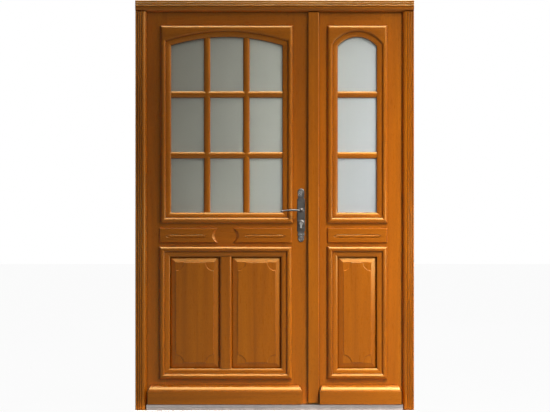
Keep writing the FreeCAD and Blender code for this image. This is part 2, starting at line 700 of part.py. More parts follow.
def arched_head(leaf):
    """Head of a glazing moulding: sloping edges outside, and the inner round along the arch."""
    body = arched_bead(f"{leaf}_glazing_head", leaf, "leaf_face", "infill_front")
    foot = f"{leaf}_spring + glue_line"
    left, right = f"{leaf}_trim_left", f"{leaf}_trim_right"
    pad(body, "XZ", "moulding_front", "leaf_face", rectangle(left, right, foot, "glazing_top"))
    bevel(body, (left, right, foot, "glazing_top"), "moulding_front", "+",
          [(f"slope_width * (1 - cos({turned}))", f"slope_width * (1 - sin({turned}))")
           for turned in (90, 60, 30, 0)], foot=False)
    section = [("crest_end", "0"), ("crest_end", "groove_level"), ("groove_end", "groove_level")]
    section += [(f"groove_end + (ovolo_width - arch_margin) * sin({turned})",
                 f"(moulding_rise - moulding_quirk) * cos({turned})") for turned in (0, 45, 90)]
    inner_left, inner_right = f"{leaf}_sight_left - ring_width", f"{leaf}_sight_right + ring_width"
    pocket(body, "XZ", "moulding_front", "leaf_face",
           [(inner_left, foot), (inner_right, foot), (inner_right, f"{leaf}_shoulder"),
            (f"{leaf}_middle", "crown + ring_width", "via"), (inner_left, f"{leaf}_shoulder")])
    for edge, sign in ((left, "+"), (right, "-")):
        pad(body, "XY", foot, f"{leaf}_shoulder",
            [(f"{edge} {sign} ({across})", f"leaf_face - ({out})") for across, out in section])
    turn(body, "YZ", f"{leaf}_middle",
         [(f"leaf_face - ({out})", f"crown + moulding_width - ({across})")
          for across, out in section],
         (("leaf_face", f"{leaf}_centre"), ("leaf_back", f"{leaf}_centre")),
         f"2 * asin({leaf}_half / {leaf}_radius)")
    return node(body, f"{leaf}_glazing_head")


for leaf in LEAVES:
    glazing = (f"{leaf}_trim_left", f"{leaf}_trim_right", "glazing_base", f"{leaf}_spring")
    gather(f"{leaf}_glazing_moulding",
           moulding(f"{leaf}_glazing_member", SECTION, glazing, "leaf_face", "-",
                    "moulding_front - 1", "infill_front + 1", ("left", "right", "bottom")))
    arched_head(leaf)
    beads = moulding(f"{leaf}_glazing_bead", BEAD, glazing, "glass_back", "+",
                     "glass_back - 1", "leaf_back + 1", ("left", "right", "bottom"))
    beads.append(arched_bead(f"{leaf}_glazing_bead_head", leaf, "glass_back", "leaf_back"))
    gather(f"{leaf}_glazing_beads", beads)
    owner = "panel" if leaf == "door" else leaf
    frame = (f"{owner}_trim_left", f"{owner}_trim_right", "panel_trim_base", "panel_trim_top")
    around = ("left", "right", "bottom", "top")
    gather(f"{leaf}_panel_moulding",
           moulding(f"{leaf}_panel_member", SECTION, frame, "leaf_face", "-",
                    "moulding_front - 1", "infill_front + 1", around))
    gather(f"{leaf}_panel_beads",
           moulding(f"{leaf}_panel_bead", BEAD, frame, "panel_back", "+",
                    "panel_back - 1", "leaf_back + 1", around))

# Double glazing with a bar between the panes round its edge

for leaf in LEAVES:
    left, right = f"{leaf}_open_left + glass_play", f"{leaf}_open_right - glass_play"
    low, high = "glazing_open_base + glass_play", "glazing_open_top - glass_play"
    outer = slab(f"{leaf}_pane_outer", left, right, "infill_front", "infill_front + pane_thickness",
                 low, high)
    inner = slab(f"{leaf}_pane_inner", left, right, "glass_back - pane_thickness", "glass_back",
                 low, high)
    gather(f"{leaf}_glass", [outer, inner])
    spacer = new_body(f"{leaf}_glass_spacer")
    pad(spacer, "XZ", "infill_front + pane_thickness", "glass_back - pane_thickness",
        rectangle(left, right, low, high),
        rectangle(f"{left} + spacer_width", f"{right} - spacer_width",
                  f"{low} + spacer_width", f"{high} - spacer_width"))
    node(spacer, f"{leaf}_glass_spacer")


def glazing_bars(label, leaf, columns, glass, outward):
    """Crossing bars with rounded sides on one face of the glass, cut to the arch."""
    half = "bar_width / 2"
    profile = [(f"-{half}", "0"), (f"-{half}", "bar_rise - bar_round"),
               (f"-{half} + bar_round * {QUARTER}", f"bar_rise - bar_round * {QUARTER}"),
               (f"-{half} + bar_round", "bar_rise"), (f"{half} - bar_round", "bar_rise"),
               (f"{half} - bar_round * {QUARTER}", f"bar_rise - bar_round * {QUARTER}"),
               (half, "bar_rise - bar_round"), (half, "0")]
    bars = []
    for index in (1, 2):
        middle = f"glass_base + {index} * pane_step - {half}"
        body = new_body(f"{label}_row")
        pad(body, "YZ", f"{leaf}_sight_left", f"{leaf}_sight_right",
            [(f"{glass} {outward} ({out})", f"{middle} + {across}") for across, out in profile])
        bars.append(body)
    for index in columns:
        middle = f"{leaf}_sight_left + {index} * column_step - {half}"
        body = new_body(f"{label}_column")
        pad(body, "XY", "glass_base", "crown",
            [(f"{middle} + {across}", f"{glass} {outward} ({out})") for across, out in profile])
        bars.append(body)
    if not columns:
        return gather(label, bars)
    crossing = document.addObject("Part::MultiFuse", f"{label}_crossing")
    crossing.Shapes = bars
    opening = new_body(f"{label}_opening")
    pad(opening, "XZ", "infill_front - bar_rise - 1", "glass_back + bar_rise + 1",
        [(f"{leaf}_sight_left", "glass_base"), (f"{leaf}_sight_right", "glass_base"),
         (f"{leaf}_sight_right", f"{leaf}_spring"), (f"{leaf}_middle", "crown", "via"),
         (f"{leaf}_sight_left", f"{leaf}_spring")])
    inside = document.addObject("Part::Common", label)
    inside.Base = crossing
    inside.Tool = opening
    return node(inside, label)


for leaf, columns in (("door", (1, 2)), ("side", ())):
    glazing_bars(f"{leaf}_glazing_bars", leaf, columns, "infill_front", "-")
    glazing_bars(f"{leaf}_glazing_bars_inside", leaf, columns, "glass_back", "+")

# Raised panels with hollow corners, and the upright between the two of the door

SCALLOP_FACETS = 20


def raised_panel(label, left, right, sight_left, sight_right):
    """Panel with a sloping border and a flat field on both faces."""
    body = new_body(label)
    pad(body, "XZ", "infill_front", "panel_back",
        rectangle(f"{left} + panel_play", f"{right} - panel_play",
                  "panel_open_base + panel_play", "panel_open_top - panel_play"))
    border = (sight_left, sight_right, "panel_base", "panel_top")
    slope = (("panel_bevel", "0"), ("0", "panel_rise"))
    pad(body, "XZ", "infill_front - panel_rise", "infill_front", rectangle(*border))
    bevel(body, border, "infill_front - panel_rise", "+", slope)
    pad(body, "XZ", "panel_back", "panel_back + panel_rise", rectangle(*border))
    bevel(body, border, "panel_back + panel_rise", "-", slope)
    field_left, field_right = f"{sight_left} + panel_bevel", f"{sight_right} - panel_bevel"
    field_base, field_top = "panel_base + panel_bevel", "panel_top - panel_bevel"
    corners = [polygon(across, up, "scallop_radius", SCALLOP_FACETS)
               for across in (field_left, field_right) for up in (field_base, field_top)]
    pocket(body, "XZ", "infill_front - panel_rise", "infill_front - panel_rise + scallop_depth",
           *corners)
    return node(body, label)


muntin_left, muntin_right = "muntin_middle - muntin_width / 2", "muntin_middle + muntin_width / 2"
web_left, web_right = "muntin_middle - muntin_web / 2", "muntin_middle + muntin_web / 2"
raised_panel("door_panel_left", "panel_open_left", web_left, "panel_sight_left", muntin_left)
raised_panel("door_panel_right", web_right, "panel_open_right", muntin_right, "panel_sight_right")
raised_panel("side_panel", "side_open_left", "side_open_right", "side_sight_left",
             "side_sight_right")

door_muntin = new_body("door_muntin")
pad(door_muntin, "XY", "panel_open_base", "panel_open_top",
    rectangle(web_left, web_right, "infill_front", "panel_back"))
bend_depth = f"infill_front - moulding_edge - infill_setback * {OUTER}"
pad(door_muntin, "XY", "panel_base", "panel_top",
    [(muntin_left, "infill_front"), (muntin_left, "infill_front - moulding_edge"),
     (f"{muntin_left} + muntin_bevel * {QUARTER}", bend_depth, "via"),
     (f"{muntin_left} + muntin_bevel", "leaf_face - moulding_edge"),
     (f"{muntin_right} - muntin_bevel", "leaf_face - moulding_edge"),
     (f"{muntin_right} - muntin_bevel * {QUARTER}", bend_depth, "via"),
     (muntin_right, "infill_front - moulding_edge"), (muntin_right, "infill_front")])
pad(door_muntin, "XY", "panel_base", "panel_top",
    rectangle(muntin_left, muntin_right, "panel_back", "leaf_back"))
node(door_muntin, "door_muntin")

# Raised blocks between glazing and panels, with hollow ends and a long groove

SCOOP_STEPS = (-0.75, -0.5, -0.25, 0, 0.25, 0.5, 0.75)


def frieze_block(label, left, right, hollow):
    """Block with sloping edges and a ribbed groove; hollow names its scooped end, or is empty."""
    body = new_body(label)
    middle = "frieze_base + frieze_height / 2"
    front = "leaf_face - frieze_rise"
    stages = []
    for depth, inset, scoop in (("leaf_face", "0", "frieze_hollow_foot"),
                                (front, "frieze_bevel", "frieze_hollow")):
        outline = rectangle(f"{left} + {inset}", f"{right} - {inset}", f"frieze_base + {inset}",
                            f"frieze_top - {inset}")
        half = f"(frieze_height / 2 - {inset})"
        bow = [(f"{scoop} * {1 - step ** 2:.3f}", f"{middle} + {half} * {step}")
               for step in SCOOP_STEPS]
        if hollow == "right":
            outline[2:2] = [(f"{right} - {deep}", up) for deep, up in bow]
        if hollow == "left":
            outline += [(f"{left} + {deep}", up) for deep, up in reversed(bow)]
        stages.append((depth, outline))
    loft(body, "XZ", *stages)
    start = f"{left} + flute_inset" + (" + frieze_hollow" if hollow == "left" else "")
    finish = f"{right} - flute_inset" + (" - frieze_hollow" if hollow == "right" else "")
    height = "frieze_base + flute_rise"
    groove = []
    for width, inset in (("flute_width", "0"), ("flute_rib", "flute_rib")):
        shoulders = (f"{start} + {inset} + {width}", f"{finish} - {inset} - {width}")
        groove.append([(f"{start} + {inset}", height), (shoulders[0], f"{height} - {width} / 2"),
                       (shoulders[1], f"{height} - {width} / 2"), (f"{finish} - {inset}", height),
                       (shoulders[1], f"{height} + {width} / 2"),
                       (shoulders[0], f"{height} + {width} / 2")])
    pocket(body, "XZ", front, f"{front} + flute_depth", *groove)
    return node(body, label)


frieze_block("door_frieze_left", "panel_trim_left", "muntin_middle - frieze_gap / 2", "right")
frieze_block("door_frieze_right", "muntin_middle + frieze_gap / 2", "panel_trim_right", "left")
frieze_block("side_frieze", "side_trim_left", "side_trim_right", "")

# Drip bars at the foot of both leaves: rounded top, upright face, sloping ends


def drip_bar(label, left, right):
    """Bar with a fine step over its face and ends that slope back."""
    body = new_body(label)
    pad(body, "YZ", left, right,
        [("leaf_face", "drip_base"), ("drip_front", "drip_base"), ("drip_front", "drip_arris"),
         ("drip_front + drip_quirk", "drip_arris"),
         (f"leaf_face - (drip_reach - drip_quirk) * {OUTER}",
          f"drip_arris + (drip_top - drip_arris) * {OUTER}", "via"),
         ("leaf_face", "drip_top")])
    cuts = []
    for edge, inward, outward in ((left, "+", "-"), (right, "-", "+")):
        cuts.append([(edge, "drip_arris"), (f"{edge} {inward} drip_return", "drip_top + 1"),
                     (f"{edge} {outward} 1", "drip_top + 1"), (f"{edge} {outward} 1", "drip_arris")])
    pocket(body, "XZ", "drip_front - 1", "leaf_face", *cuts)
    return node(body, label)


drip_bar("door_drip_bar", "-jamb_edge + drip_jamb_gap", "batten_left - drip_batten_gap")
drip_bar("side_drip_bar", "batten_right + side_drip_gap", "jamb_edge - drip_jamb_gap")

# Cover of the joint, fixed to the narrow leaf and hollowed where the door shuts behind it

batten = new_body("batten")
bend = f"batten_round * {QUARTER}"
pad(batten, "XY", "batten_base", "batten_top",
    [("batten_left", "leaf_face - stop_clearance"), ("batten_left", "batten_front + batten_round"),
     (f"batten_left + {bend}", f"batten_front + {bend}", "via"),
     ("batten_left + batten_round", "batten_front"),
     ("batten_right - batten_round", "batten_front"),
     (f"batten_right - {bend}", f"batten_front + {bend}", "via"),
     ("batten_right", "batten_front + batten_round"), ("batten_right", "leaf_face"),
     ("side_left", "leaf_face"), ("side_left", "leaf_face - stop_clearance")])
node(batten, "batten")

# Hinges on the inner face: a flap and a closed knuckle on frame and leaf, three to each leaf


def hinge(name, side, height, which):
    """Frame half with the lower knuckle, or leaf half with the upper; side is -1 or 1."""
    body = new_body(f"{name}_{which}")
    line = f"{side} * hinge_line"
    low, high = f"{height} - hinge_height / 2", f"{height} + hinge_height / 2"
    out = side if which == "frame" else -side
    near = f"{line} + {out} * hinge_radius"
    far = f"{line} + {out} * (hinge_radius + hinge_flap_width)"
    pad(body, "XY", low, high, rectangle(near, far, "frame_back", "frame_back + hinge_flap"))
    if which == "frame":
        knuckle = (low, f"{height} - hinge_joint / 2")
    else:
        knuckle = (f"{height} + hinge_joint / 2", high)
    post(body, *knuckle, line, "hinge_depth", "2 * hinge_radius")
    pad(body, "XY", *knuckle,
        rectangle(line, f"{line} + {out} * (hinge_radius + 0.5)", "hinge_depth - hinge_radius",
                  "frame_back + hinge_flap"))
    return body


HEIGHTS = ("hinge_low", "hinge_middle", "hinge_high")
gather("door_hinges_frame", [hinge("door_hinge", -1, z, "frame") for z in HEIGHTS])
gather("door_hinges_leaf", [hinge("door_hinge", -1, z, "leaf") for z in HEIGHTS])
gather("side_hinges_frame", [hinge("side_hinge", 1, z, "frame") for z in HEIGHTS])
gather("side_hinges_leaf", [hinge("side_hinge", 1, z, "leaf") for z in HEIGHTS])

# Mortise lock, its face plate and strike plate, and the cylinder

lock_case = new_body("lock_case")
pad(lock_case, "YZ", "door_lip - lock_face_thickness", "door_lip",
    rectangle(lock_front, lock_back, "lock_face_base", "lock_face_top"))
pad(lock_case, "YZ", lock_left, "door_lip - lock_face_thickness",
    rectangle("lock_line - lock_case_width / 2", "lock_line + lock_case_width / 2",
              "lock_case_base", "lock_case_top"))
pocket(lock_case, "XZ", "lock_line - lock_case_width", "lock_line + lock_case_width",
       cylinder_outline("cylinder_play"),
       circles=[("spindle_line", "spindle_height", "spindle_hub")])
node(lock_case, "lock_case")

strike_plate = slab("strike_plate", "side_step", "side_step + lock_face_thickness", lock_front,
                    lock_back, "lock_face_base", "lock_face_top")
node(strike_plate, "strike_plate")

bolts = []
for low, high in RECESSES[1:]:
    bolt = slab("flush_bolt", "side_step", "side_step + lock_face_thickness", lock_front,
                lock_back, low, high)
    middle = f"({low} + ({high})) / 2"
    pad(bolt, "YZ", "side_step - bolt_lever_rise", "side_step",
        rectangle("lock_line - bolt_lever_width / 2", "lock_line + bolt_lever_width / 2",
                  f"{middle} - bolt_lever_height / 2", f"{middle} + bolt_lever_height / 2"))
    bolts.append(bolt)
gather("flush_bolts", bolts)

lock_cylinder = new_body("lock_cylinder")
pad(lock_cylinder, "XZ", "leaf_face - plate_thickness - cylinder_proud",
    "leaf_back + plate_thickness + cylinder_proud", cylinder_outline("0"))
keyway = rectangle("spindle_line - keyway_width / 2", "spindle_line + keyway_width / 2",
                   "cylinder_middle - keyway_height / 2", "cylinder_middle + keyway_height / 2")
for face, inward in (("leaf_face - plate_thickness - cylinder_proud", "+"),
                     ("leaf_back + plate_thickness + cylinder_proud", "-")):
    edges = (face, f"{face} {inward} keyway_depth")
    pocket(lock_cylinder, "XZ", *(edges if inward == "+" else edges[::-1]), keyway)
node(lock_cylinder, "lock_cylinder")

# Long handle plates, lever handles and the spindle that joins them


# Outline of the plate's lobed head from its top, and of its foot from the bottom,
# in plate widths: across from the middle, along the plate
PLATE_HEAD = ((0.1, 0), (0.26, 0.07), (0.37, 0.2), (0.43, 0.4), (0.44, 0.6), (0.41, 0.78),
              (0.36, 0.88), (0.47, 0.97), (0.34, 1.08), (0.4, 1.24), (0.5, 1.32))
PLATE_FOOT = ((0.06, 0), (0.13, 0.1), (0.18, 0.26), (0.32, 0.3), (0.41, 0.42), (0.41, 0.56),
              (0.34, 0.68), (0.43, 0.78), (0.47, 0.92), (0.44, 1.06), (0.38, 1.14), (0.42, 1.28),
              (0.5, 1.38))
ROSETTE_FACETS = 12


def plate_outline():
    """Lobed outline of the handle plate."""
    right = [(f"spindle_line + plate_width * {across}", f"plate_top - plate_width * {along}")
             for across, along in PLATE_HEAD]
    right += [(f"spindle_line + plate_width * {across}", f"plate_base + plate_width * {along}")
              for across, along in reversed(PLATE_FOOT)]
    return right + [(across.replace("+", "-"), up) for across, up in reversed(right)]


def handle_plate(label, face, outward):
    """Long plate with a faceted rosette round the spindle and a ring round the cylinder."""
    body = new_body(label)

    def layer(low, high):
        """Front and back of a layer that starts and ends at these heights above the leaf."""
        ends = [f"{face} {outward} ({height})" for height in (low, high)]
        return ends if outward == "+" else ends[::-1]

    pad(body, "XZ", *layer("0", "plate_thickness"), plate_outline())
    pad(body, "XZ", *layer("0", "plate_thickness + rosette_rise"),
        polygon("spindle_line", "spindle_height", "rosette_width / 2", ROSETTE_FACETS))
    disc(body, *layer("0", "plate_thickness + escutcheon_rise"), "spindle_line",
         "escutcheon_middle", "escutcheon_width")
    pocket(body, "XZ", *layer("0", "plate_thickness + escutcheon_rise"),
           cylinder_outline("cylinder_play"),
           circles=[("spindle_line", "spindle_height", "spindle_hub")])
    return node(body, label)


handle_plate("handle_plate_outside", "leaf_face", "-")
handle_plate("handle_plate_inside", "leaf_back", "+")


NECK_FACETS = 12


def lever(label, face, outward):
    """Forged neck with a wider end, and a tapering grip that droops to a thicker tip."""
    body = new_body(label)
    inward = "-" if outward == "+" else "+"
    start = f"{face} {outward} lever_gap"
    middle = f"{face} {outward} lever_standoff"
    taper = [("0", "lever_thickness / 2"), ("lever_reach * 0.6", "lever_waist / 2"),
             ("lever_reach - lever_tip", "lever_waist / 2"),
             ("lever_reach - lever_tip * 0.7", "lever_tip / 2"),
             ("lever_reach - lever_tip * 0.25", "lever_tip / 2"),
             ("lever_reach", "lever_waist / 3")]
    places = [(f"spindle_line - ({along})",
               f"spindle_height - lever_droop * ({along}) / lever_reach", half)
              for along, half in taper]
    pad(body, "XZ", f"{middle} - lever_tip / 2", f"{middle} + lever_tip / 2",
        [(x, f"{z} + {half}") for x, z, half in places] +
        [(x, f"{z} - {half}") for x, z, half in reversed(places)])
    strips = []
    for side in ("-", "+"):
        beyond = f"{middle} {side} (lever_tip / 2 + 1)"
        strips.append([("spindle_line + 1", beyond),
                       ("spindle_line + 1", f"{middle} {side} lever_thickness / 2")] +
                      [(x, f"{middle} {side} {half}") for x, z, half in places] +
                      [("spindle_line - lever_reach - 1", f"{middle} {side} lever_waist / 3"),
                       ("spindle_line - lever_reach - 1", beyond)])
    pocket(body, "XY", "spindle_height - lever_knob", "spindle_height + lever_knob", *strips)
    for radius, low, high in (("lever_boss / 2", start, middle),
                              ("lever_knob / 2", f"{middle} {inward} lever_knob * 0.4",
                               f"{middle} {outward} lever_knob * 0.4")):
        pad(body, "XZ", *((low, high) if outward == "+" else (high, low)),
            polygon("spindle_line", "spindle_height", radius, NECK_FACETS))
    ends = (start, f"{middle} {inward} 1")
    pocket(body, "XZ", *(ends if outward == "+" else ends[::-1]),
           rectangle("spindle_line - spindle_size / 2", "spindle_line + spindle_size / 2",
                     "spindle_height - spindle_size / 2", "spindle_height + spindle_size / 2"))
    return node(body, label)


lever("lever_outside", "leaf_face", "-")
lever("lever_inside", "leaf_back", "+")
spindle = slab("spindle", "spindle_line - spindle_size / 2", "spindle_line + spindle_size / 2",
               "leaf_face - lever_standoff + 1", "leaf_back + lever_standoff - 1",
               "spindle_height - spindle_size / 2", "spindle_height + spindle_size / 2")
node(spindle, "spindle")

document.recompute()
for item in document.Objects:
    if "Invalid" in item.State or "Error" in item.State:
        raise ValueError(f"{item.Label} failed")
for item in NODES:
    if item.Shape.isNull() or not item.Shape.isValid() or not item.Shape.Solids:
        raise ValueError(f"{item.Label} has no valid solid")

os.makedirs("parts", exist_ok=True)
for item in NODES:
    item.Shape.exportStep(f"parts/{item.Label}.step")
print(len(NODES), "nodes written")
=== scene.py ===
"""Glazed front door with one sidelight: finishes, fine pieces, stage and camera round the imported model."""

import json
import math

import bpy
import numpy as np
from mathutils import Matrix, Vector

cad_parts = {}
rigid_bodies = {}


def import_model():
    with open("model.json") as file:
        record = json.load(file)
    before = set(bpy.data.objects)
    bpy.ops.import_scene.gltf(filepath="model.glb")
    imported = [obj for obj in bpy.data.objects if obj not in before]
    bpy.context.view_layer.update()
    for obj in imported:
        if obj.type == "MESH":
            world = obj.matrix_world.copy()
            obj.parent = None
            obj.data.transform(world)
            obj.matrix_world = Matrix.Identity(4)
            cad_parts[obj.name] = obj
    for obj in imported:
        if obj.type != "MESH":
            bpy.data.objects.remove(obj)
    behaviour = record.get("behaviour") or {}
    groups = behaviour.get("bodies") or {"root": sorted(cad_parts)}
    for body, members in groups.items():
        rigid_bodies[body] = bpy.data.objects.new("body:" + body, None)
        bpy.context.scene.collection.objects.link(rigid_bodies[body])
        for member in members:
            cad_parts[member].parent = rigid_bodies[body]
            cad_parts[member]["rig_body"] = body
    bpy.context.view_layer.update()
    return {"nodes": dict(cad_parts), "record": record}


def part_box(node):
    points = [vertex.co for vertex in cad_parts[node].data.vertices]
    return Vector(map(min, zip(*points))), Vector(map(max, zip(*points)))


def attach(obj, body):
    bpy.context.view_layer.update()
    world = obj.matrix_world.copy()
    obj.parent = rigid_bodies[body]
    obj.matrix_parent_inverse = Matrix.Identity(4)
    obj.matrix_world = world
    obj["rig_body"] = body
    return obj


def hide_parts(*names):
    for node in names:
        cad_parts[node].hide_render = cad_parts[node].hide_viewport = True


bl_info = {
    "name": "Front door with sidelight",
    "version": (1, 0, 0),
    "blender": (4, 5, 0),
    "location": "3D View > Sidebar > Door",
    "description": "Finishes and fine pieces of a glazed front door with one sidelight",
    "category": "Object",
}

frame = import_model()
NODES = frame["nodes"]
MM = 0.001


# Colours and materials


def linear(text):
    """Linear red, green, blue and 1 from an sRGB hex colour."""
    levels = np.array([int(text[i:i + 2], 16) for i in (1, 3, 5)]) / 255
    curved = np.where(levels <= 0.04045, levels / 12.92, ((levels + 0.055) / 1.055) ** 2.4)
    return (*(float(level) for level in curved), 1.0)


def add(tree, kind, inputs=None, stops=(), **settings):
    """Adds one node: its settings, its inputs as values or as the sockets that feed them, its ramp."""
    node = tree.nodes.new("ShaderNode" + kind)
    for name, value in settings.items():
        setattr(node, name, value)
    for key, value in (inputs or {}).items():
        if isinstance(value, bpy.types.NodeSocket):
            tree.links.new(value, node.inputs[key])
        else:
            node.inputs[key].default_value = value
    while stops and len(node.color_ramp.elements) < len(stops):
        node.color_ramp.elements.new(0.5)
    for stop, (place, colour) in zip(node.color_ramp.elements if stops else (), stops):
        stop.position = place
        stop.color = colour
    return node


def new_material(name):
    """An empty material, its node tree, and object coordinates in metres."""
    material = bpy.data.materials.new(name)
    material.use_nodes = True
    tree = material.node_tree
    tree.nodes.clear()
    return material, tree, add(tree, "TexCoord").outputs["Object"]


def finish_shader(tree, **inputs):
    """Principled shader with these inputs, wired to the output."""
    named = {key.replace("_", " "): value for key, value in inputs.items()}
    shader = add(tree, "BsdfPrincipled", named)
    add(tree, "OutputMaterial", {"Surface": shader.outputs[0]})


def varnished_wood(name, along, shift):
    """Varnished hardwood, stained honey brown.

    Planed boards with a sprayed semi-gloss varnish: soft bands of tone along the board, fine
    darker growth lines about 3 mm apart, short pores that the varnish half fills, and a clear
    coat that gives broad, slightly rippled highlights.
    """
    colours = bpy.context.scene.door_colours
    material, tree, place = new_material(name)
    stretch = {"X": (0.05, 1, 1), "Z": (1, 1, 0.05)}[along]
    board = add(tree, "Mapping", {"Vector": place, "Location": shift, "Scale": stretch}).outputs[0]
    # Bands of the figure are 60 mm wide, growth lines 3 mm and pores 0.8 mm
    figure = add(tree, "TexNoise", {"Vector": board, "Scale": 1 / 0.06, "Detail": 3.0,
                                    "Roughness": 0.55, "Distortion": 0.6})
    lines = add(tree, "TexNoise", {"Vector": board, "Scale": 1 / 0.003, "Detail": 2.0,
                                   "Roughness": 0.6, "Distortion": 0.4})
    pores = add(tree, "TexNoise", {"Vector": board, "Scale": 1 / 0.0008, "Detail": 1.0})
    blend = add(tree, "Mix", {"Factor": 0.15, "A": figure.outputs[0], "B": lines.outputs[0]})
    tone = add(tree, "ValToRGB", {"Fac": blend.outputs[0]},
               stops=((0.30, tuple(colours.wood_dark)), (0.50, tuple(colours.wood)),
                      (0.72, tuple(colours.wood_light))))
    specks = add(tree, "ValToRGB", {"Fac": pores.outputs[0]},
                 stops=((0.32, (0.55, 0.5, 0.45, 1)), (0.44, (1, 1, 1, 1))))
    colour = add(tree, "Mix", {"Factor": 0.6, "A": tone.outputs[0], "B": specks.outputs[0]},
                 data_type="RGBA", blend_type="MULTIPLY")
    # Painted shade: ambient occlusion darkens the colour in quirks and grooves, within about 12 mm of an inner
    # corner
    occlusion_shade = add(tree, "AmbientOcclusion", {"Distance": 0.012}, samples=8)
    painted_crevice_shade = add(tree, "MapRange", {"Value": occlusion_shade.outputs["AO"], "From Min": 0.3,
                                      "From Max": 0.9, "To Min": 0.2, "To Max": 1.0})
    colour = add(tree, "Mix", {"Factor": 1.0, "A": colour.outputs["Result"],
                               "B": painted_crevice_shade.outputs[0]}, data_type="RGBA", blend_type="MULTIPLY")
    rough = add(tree, "MapRange", {"Value": lines.outputs[0], "To Min": 0.24, "To Max": 0.34})
    ripple = add(tree, "TexNoise", {"Vector": place, "Scale": 1 / 0.035, "Detail": 1.0})
    relief = add(tree, "Bump", {"Height": specks.outputs[0], "Strength": 0.25,
                                "Distance": 0.15 * MM})
    relief = add(tree, "Bump", {"Height": ripple.outputs[0], "Strength": 0.02,
                                "Distance": 0.6 * MM, "Normal": relief.outputs[0]})
    finish_shader(tree, Base_Color=colour.outputs["Result"], Roughness=rough.outputs[0],
                  Normal=relief.outputs[0], IOR=1.5,
                  Specular_IOR_Level=0.6, Specular_Tint=linear("#fff0a0"))
    return material


def satin_glass():
    """Acid-etched float glass.

    The face is bitten to a fine even grain, so the pane is a pale grey-green veil that lets
    light through but no picture, with a satin sheen in place of mirror reflections.
    """
    material, tree, place = new_material("etched_float_glass")
    # The grain is 0.2 mm on the pane and drawn at 0.8 mm, so that it shows
    grain = add(tree, "TexNoise", {"Vector": place, "Scale": 1 / 0.0008, "Detail": 2.0})
    cloud = add(tree, "TexNoise", {"Vector": place, "Scale": 1 / 0.35, "Detail": 2.0})
    # Painted light and shade: the pane's colour runs darker towards the upper left and lighter towards the
    # lower right
    across = add(tree, "VectorMath", {0: place, 1: (0.72, 0, -0.22)}, operation="DOT_PRODUCT")
    share = add(tree, "MapRange", {"Value": across.outputs["Value"], "From Min": -0.84,
                                   "From Max": 0.16})
    share = add(tree, "Mix", {"Factor": 0.1, "A": share.outputs[0], "B": cloud.outputs[0]})
    tone = add(tree, "ValToRGB", {"Fac": share.outputs[0]},
               stops=((0.0, linear("#a2a094")), (0.5, linear("#d0d2ca")),
                      (1.0, tuple(bpy.context.scene.door_colours.glass))))
    relief = add(tree, "Bump", {"Height": grain.outputs[0], "Strength": 0.2,
                                "Distance": 0.05 * MM})
    finish_shader(tree, Base_Color=tone.outputs[0], Roughness=0.42, Normal=relief.outputs[0],
                  Transmission_Weight=0.6, IOR=1.5)
    return material


def metal(name, colour, rough, grain, stretch=(1, 1, 1), metallic=1.0, depth=0.05,
          spread=0.12, contrast=0.75):
    """Metal finish: a grain of that size in metres, stretched by the direction it was worked in.

    The colour runs between a darker share of itself and the colour, the roughness by its spread.
    """
    material, tree, place = new_material(name)
    worked = add(tree, "Mapping", {"Vector": place, "Scale": stretch}).outputs[0]
    marks = add(tree, "TexNoise", {"Vector": worked, "Scale": 1 / grain, "Detail": 4.0,
                                   "Roughness": 0.6})
    stain = add(tree, "TexNoise", {"Vector": place, "Scale": 1 / 0.03, "Detail": 3.0})
    dark = (*(level * contrast for level in tuple(colour)[:3]), 1.0)
    tone = add(tree, "ValToRGB", {"Fac": stain.outputs[0]},
               stops=((0.35, dark), (0.6, tuple(colour))))
    gloss = add(tree, "MapRange", {"Value": marks.outputs[0], "To Min": rough - spread / 2,
                                   "To Max": rough + spread / 2})
    relief = add(tree, "Bump", {"Height": marks.outputs[0], "Strength": 0.35,
                                "Distance": depth * MM})
    finish_shader(tree, Base_Color=tone.outputs[0], Roughness=gloss.outputs[0],
                  Normal=relief.outputs[0], Metallic=metallic)
    return material


def sealing_rubber():
    """Extruded sealing rubber, dark brown: dull, with a faint drag along its length."""
    material, tree, place = new_material("sealing_rubber")
    drag = add(tree, "TexNoise", {"Vector": place, "Scale": 1 / 0.002, "Detail": 2.0})
    tone = add(tree, "ValToRGB", {"Fac": drag.outputs[0]},
               stops=((0.3, linear("#2a1a10")), (0.7, linear("#3a2617"))))
    relief = add(tree, "Bump", {"Height": drag.outputs[0], "Strength": 0.3,
                                "Distance": 0.1 * MM})
    finish_shader(tree, Base_Color=tone.outputs[0], Roughness=0.6, Normal=relief.outputs[0])
    return material


# Surfaces worked out with numpy


def quads(rows, columns, round_rows=False):
    """Faces of a grid of points whose columns close on themselves; its rows do too if asked."""
    row, column = np.meshgrid(np.arange(rows if round_rows else rows - 1), np.arange(columns),
                              indexing="ij")
    after, beside = (row + 1) % rows, (column + 1) % columns
    corners = [row * columns + column, row * columns + beside,
               after * columns + beside, after * columns + column]
    return np.stack(corners, axis=-1).reshape(-1, 4)


def skin(rings, round_rows=False):
    """Closed shell through rings of points, an array of rings by points by 3, facing outward.

    Neighbouring rings are joined by quads, and the first and last ring are closed by a cap
    unless the rings close on themselves. The faces are turned round if the shell's volume, the
    sum of a . (b x c) / 6 over its triangles, comes out below zero.
    """
    rows, columns = rings.shape[:2]
    points = rings.reshape(-1, 3)
    groups = [quads(rows, columns, round_rows)]
    if not round_rows:
        groups += [np.arange(columns)[None, ::-1], np.arange((rows - 1) * columns, rows * columns)[None]]
    around = points - points.mean(axis=0)
    volume = sum(np.sum(around[group[:, :1]] * np.cross(around[group[:, 1:-1]], around[group[:, 2:]]))
                 for group in groups)
    turn = 1 if volume > 0 else -1
    return points, [face for group in groups for face in group[:, ::turn].tolist()]


def joined(*shells):
    """Several shells as one mesh."""
    points = np.concatenate([shell[0] for shell in shells])
    starts = np.cumsum([0] + [len(shell[0]) for shell in shells])
    faces = [[corner + int(start) for corner in face]
             for start, shell in zip(starts, shells) for face in shell[1]]
    return points, faces


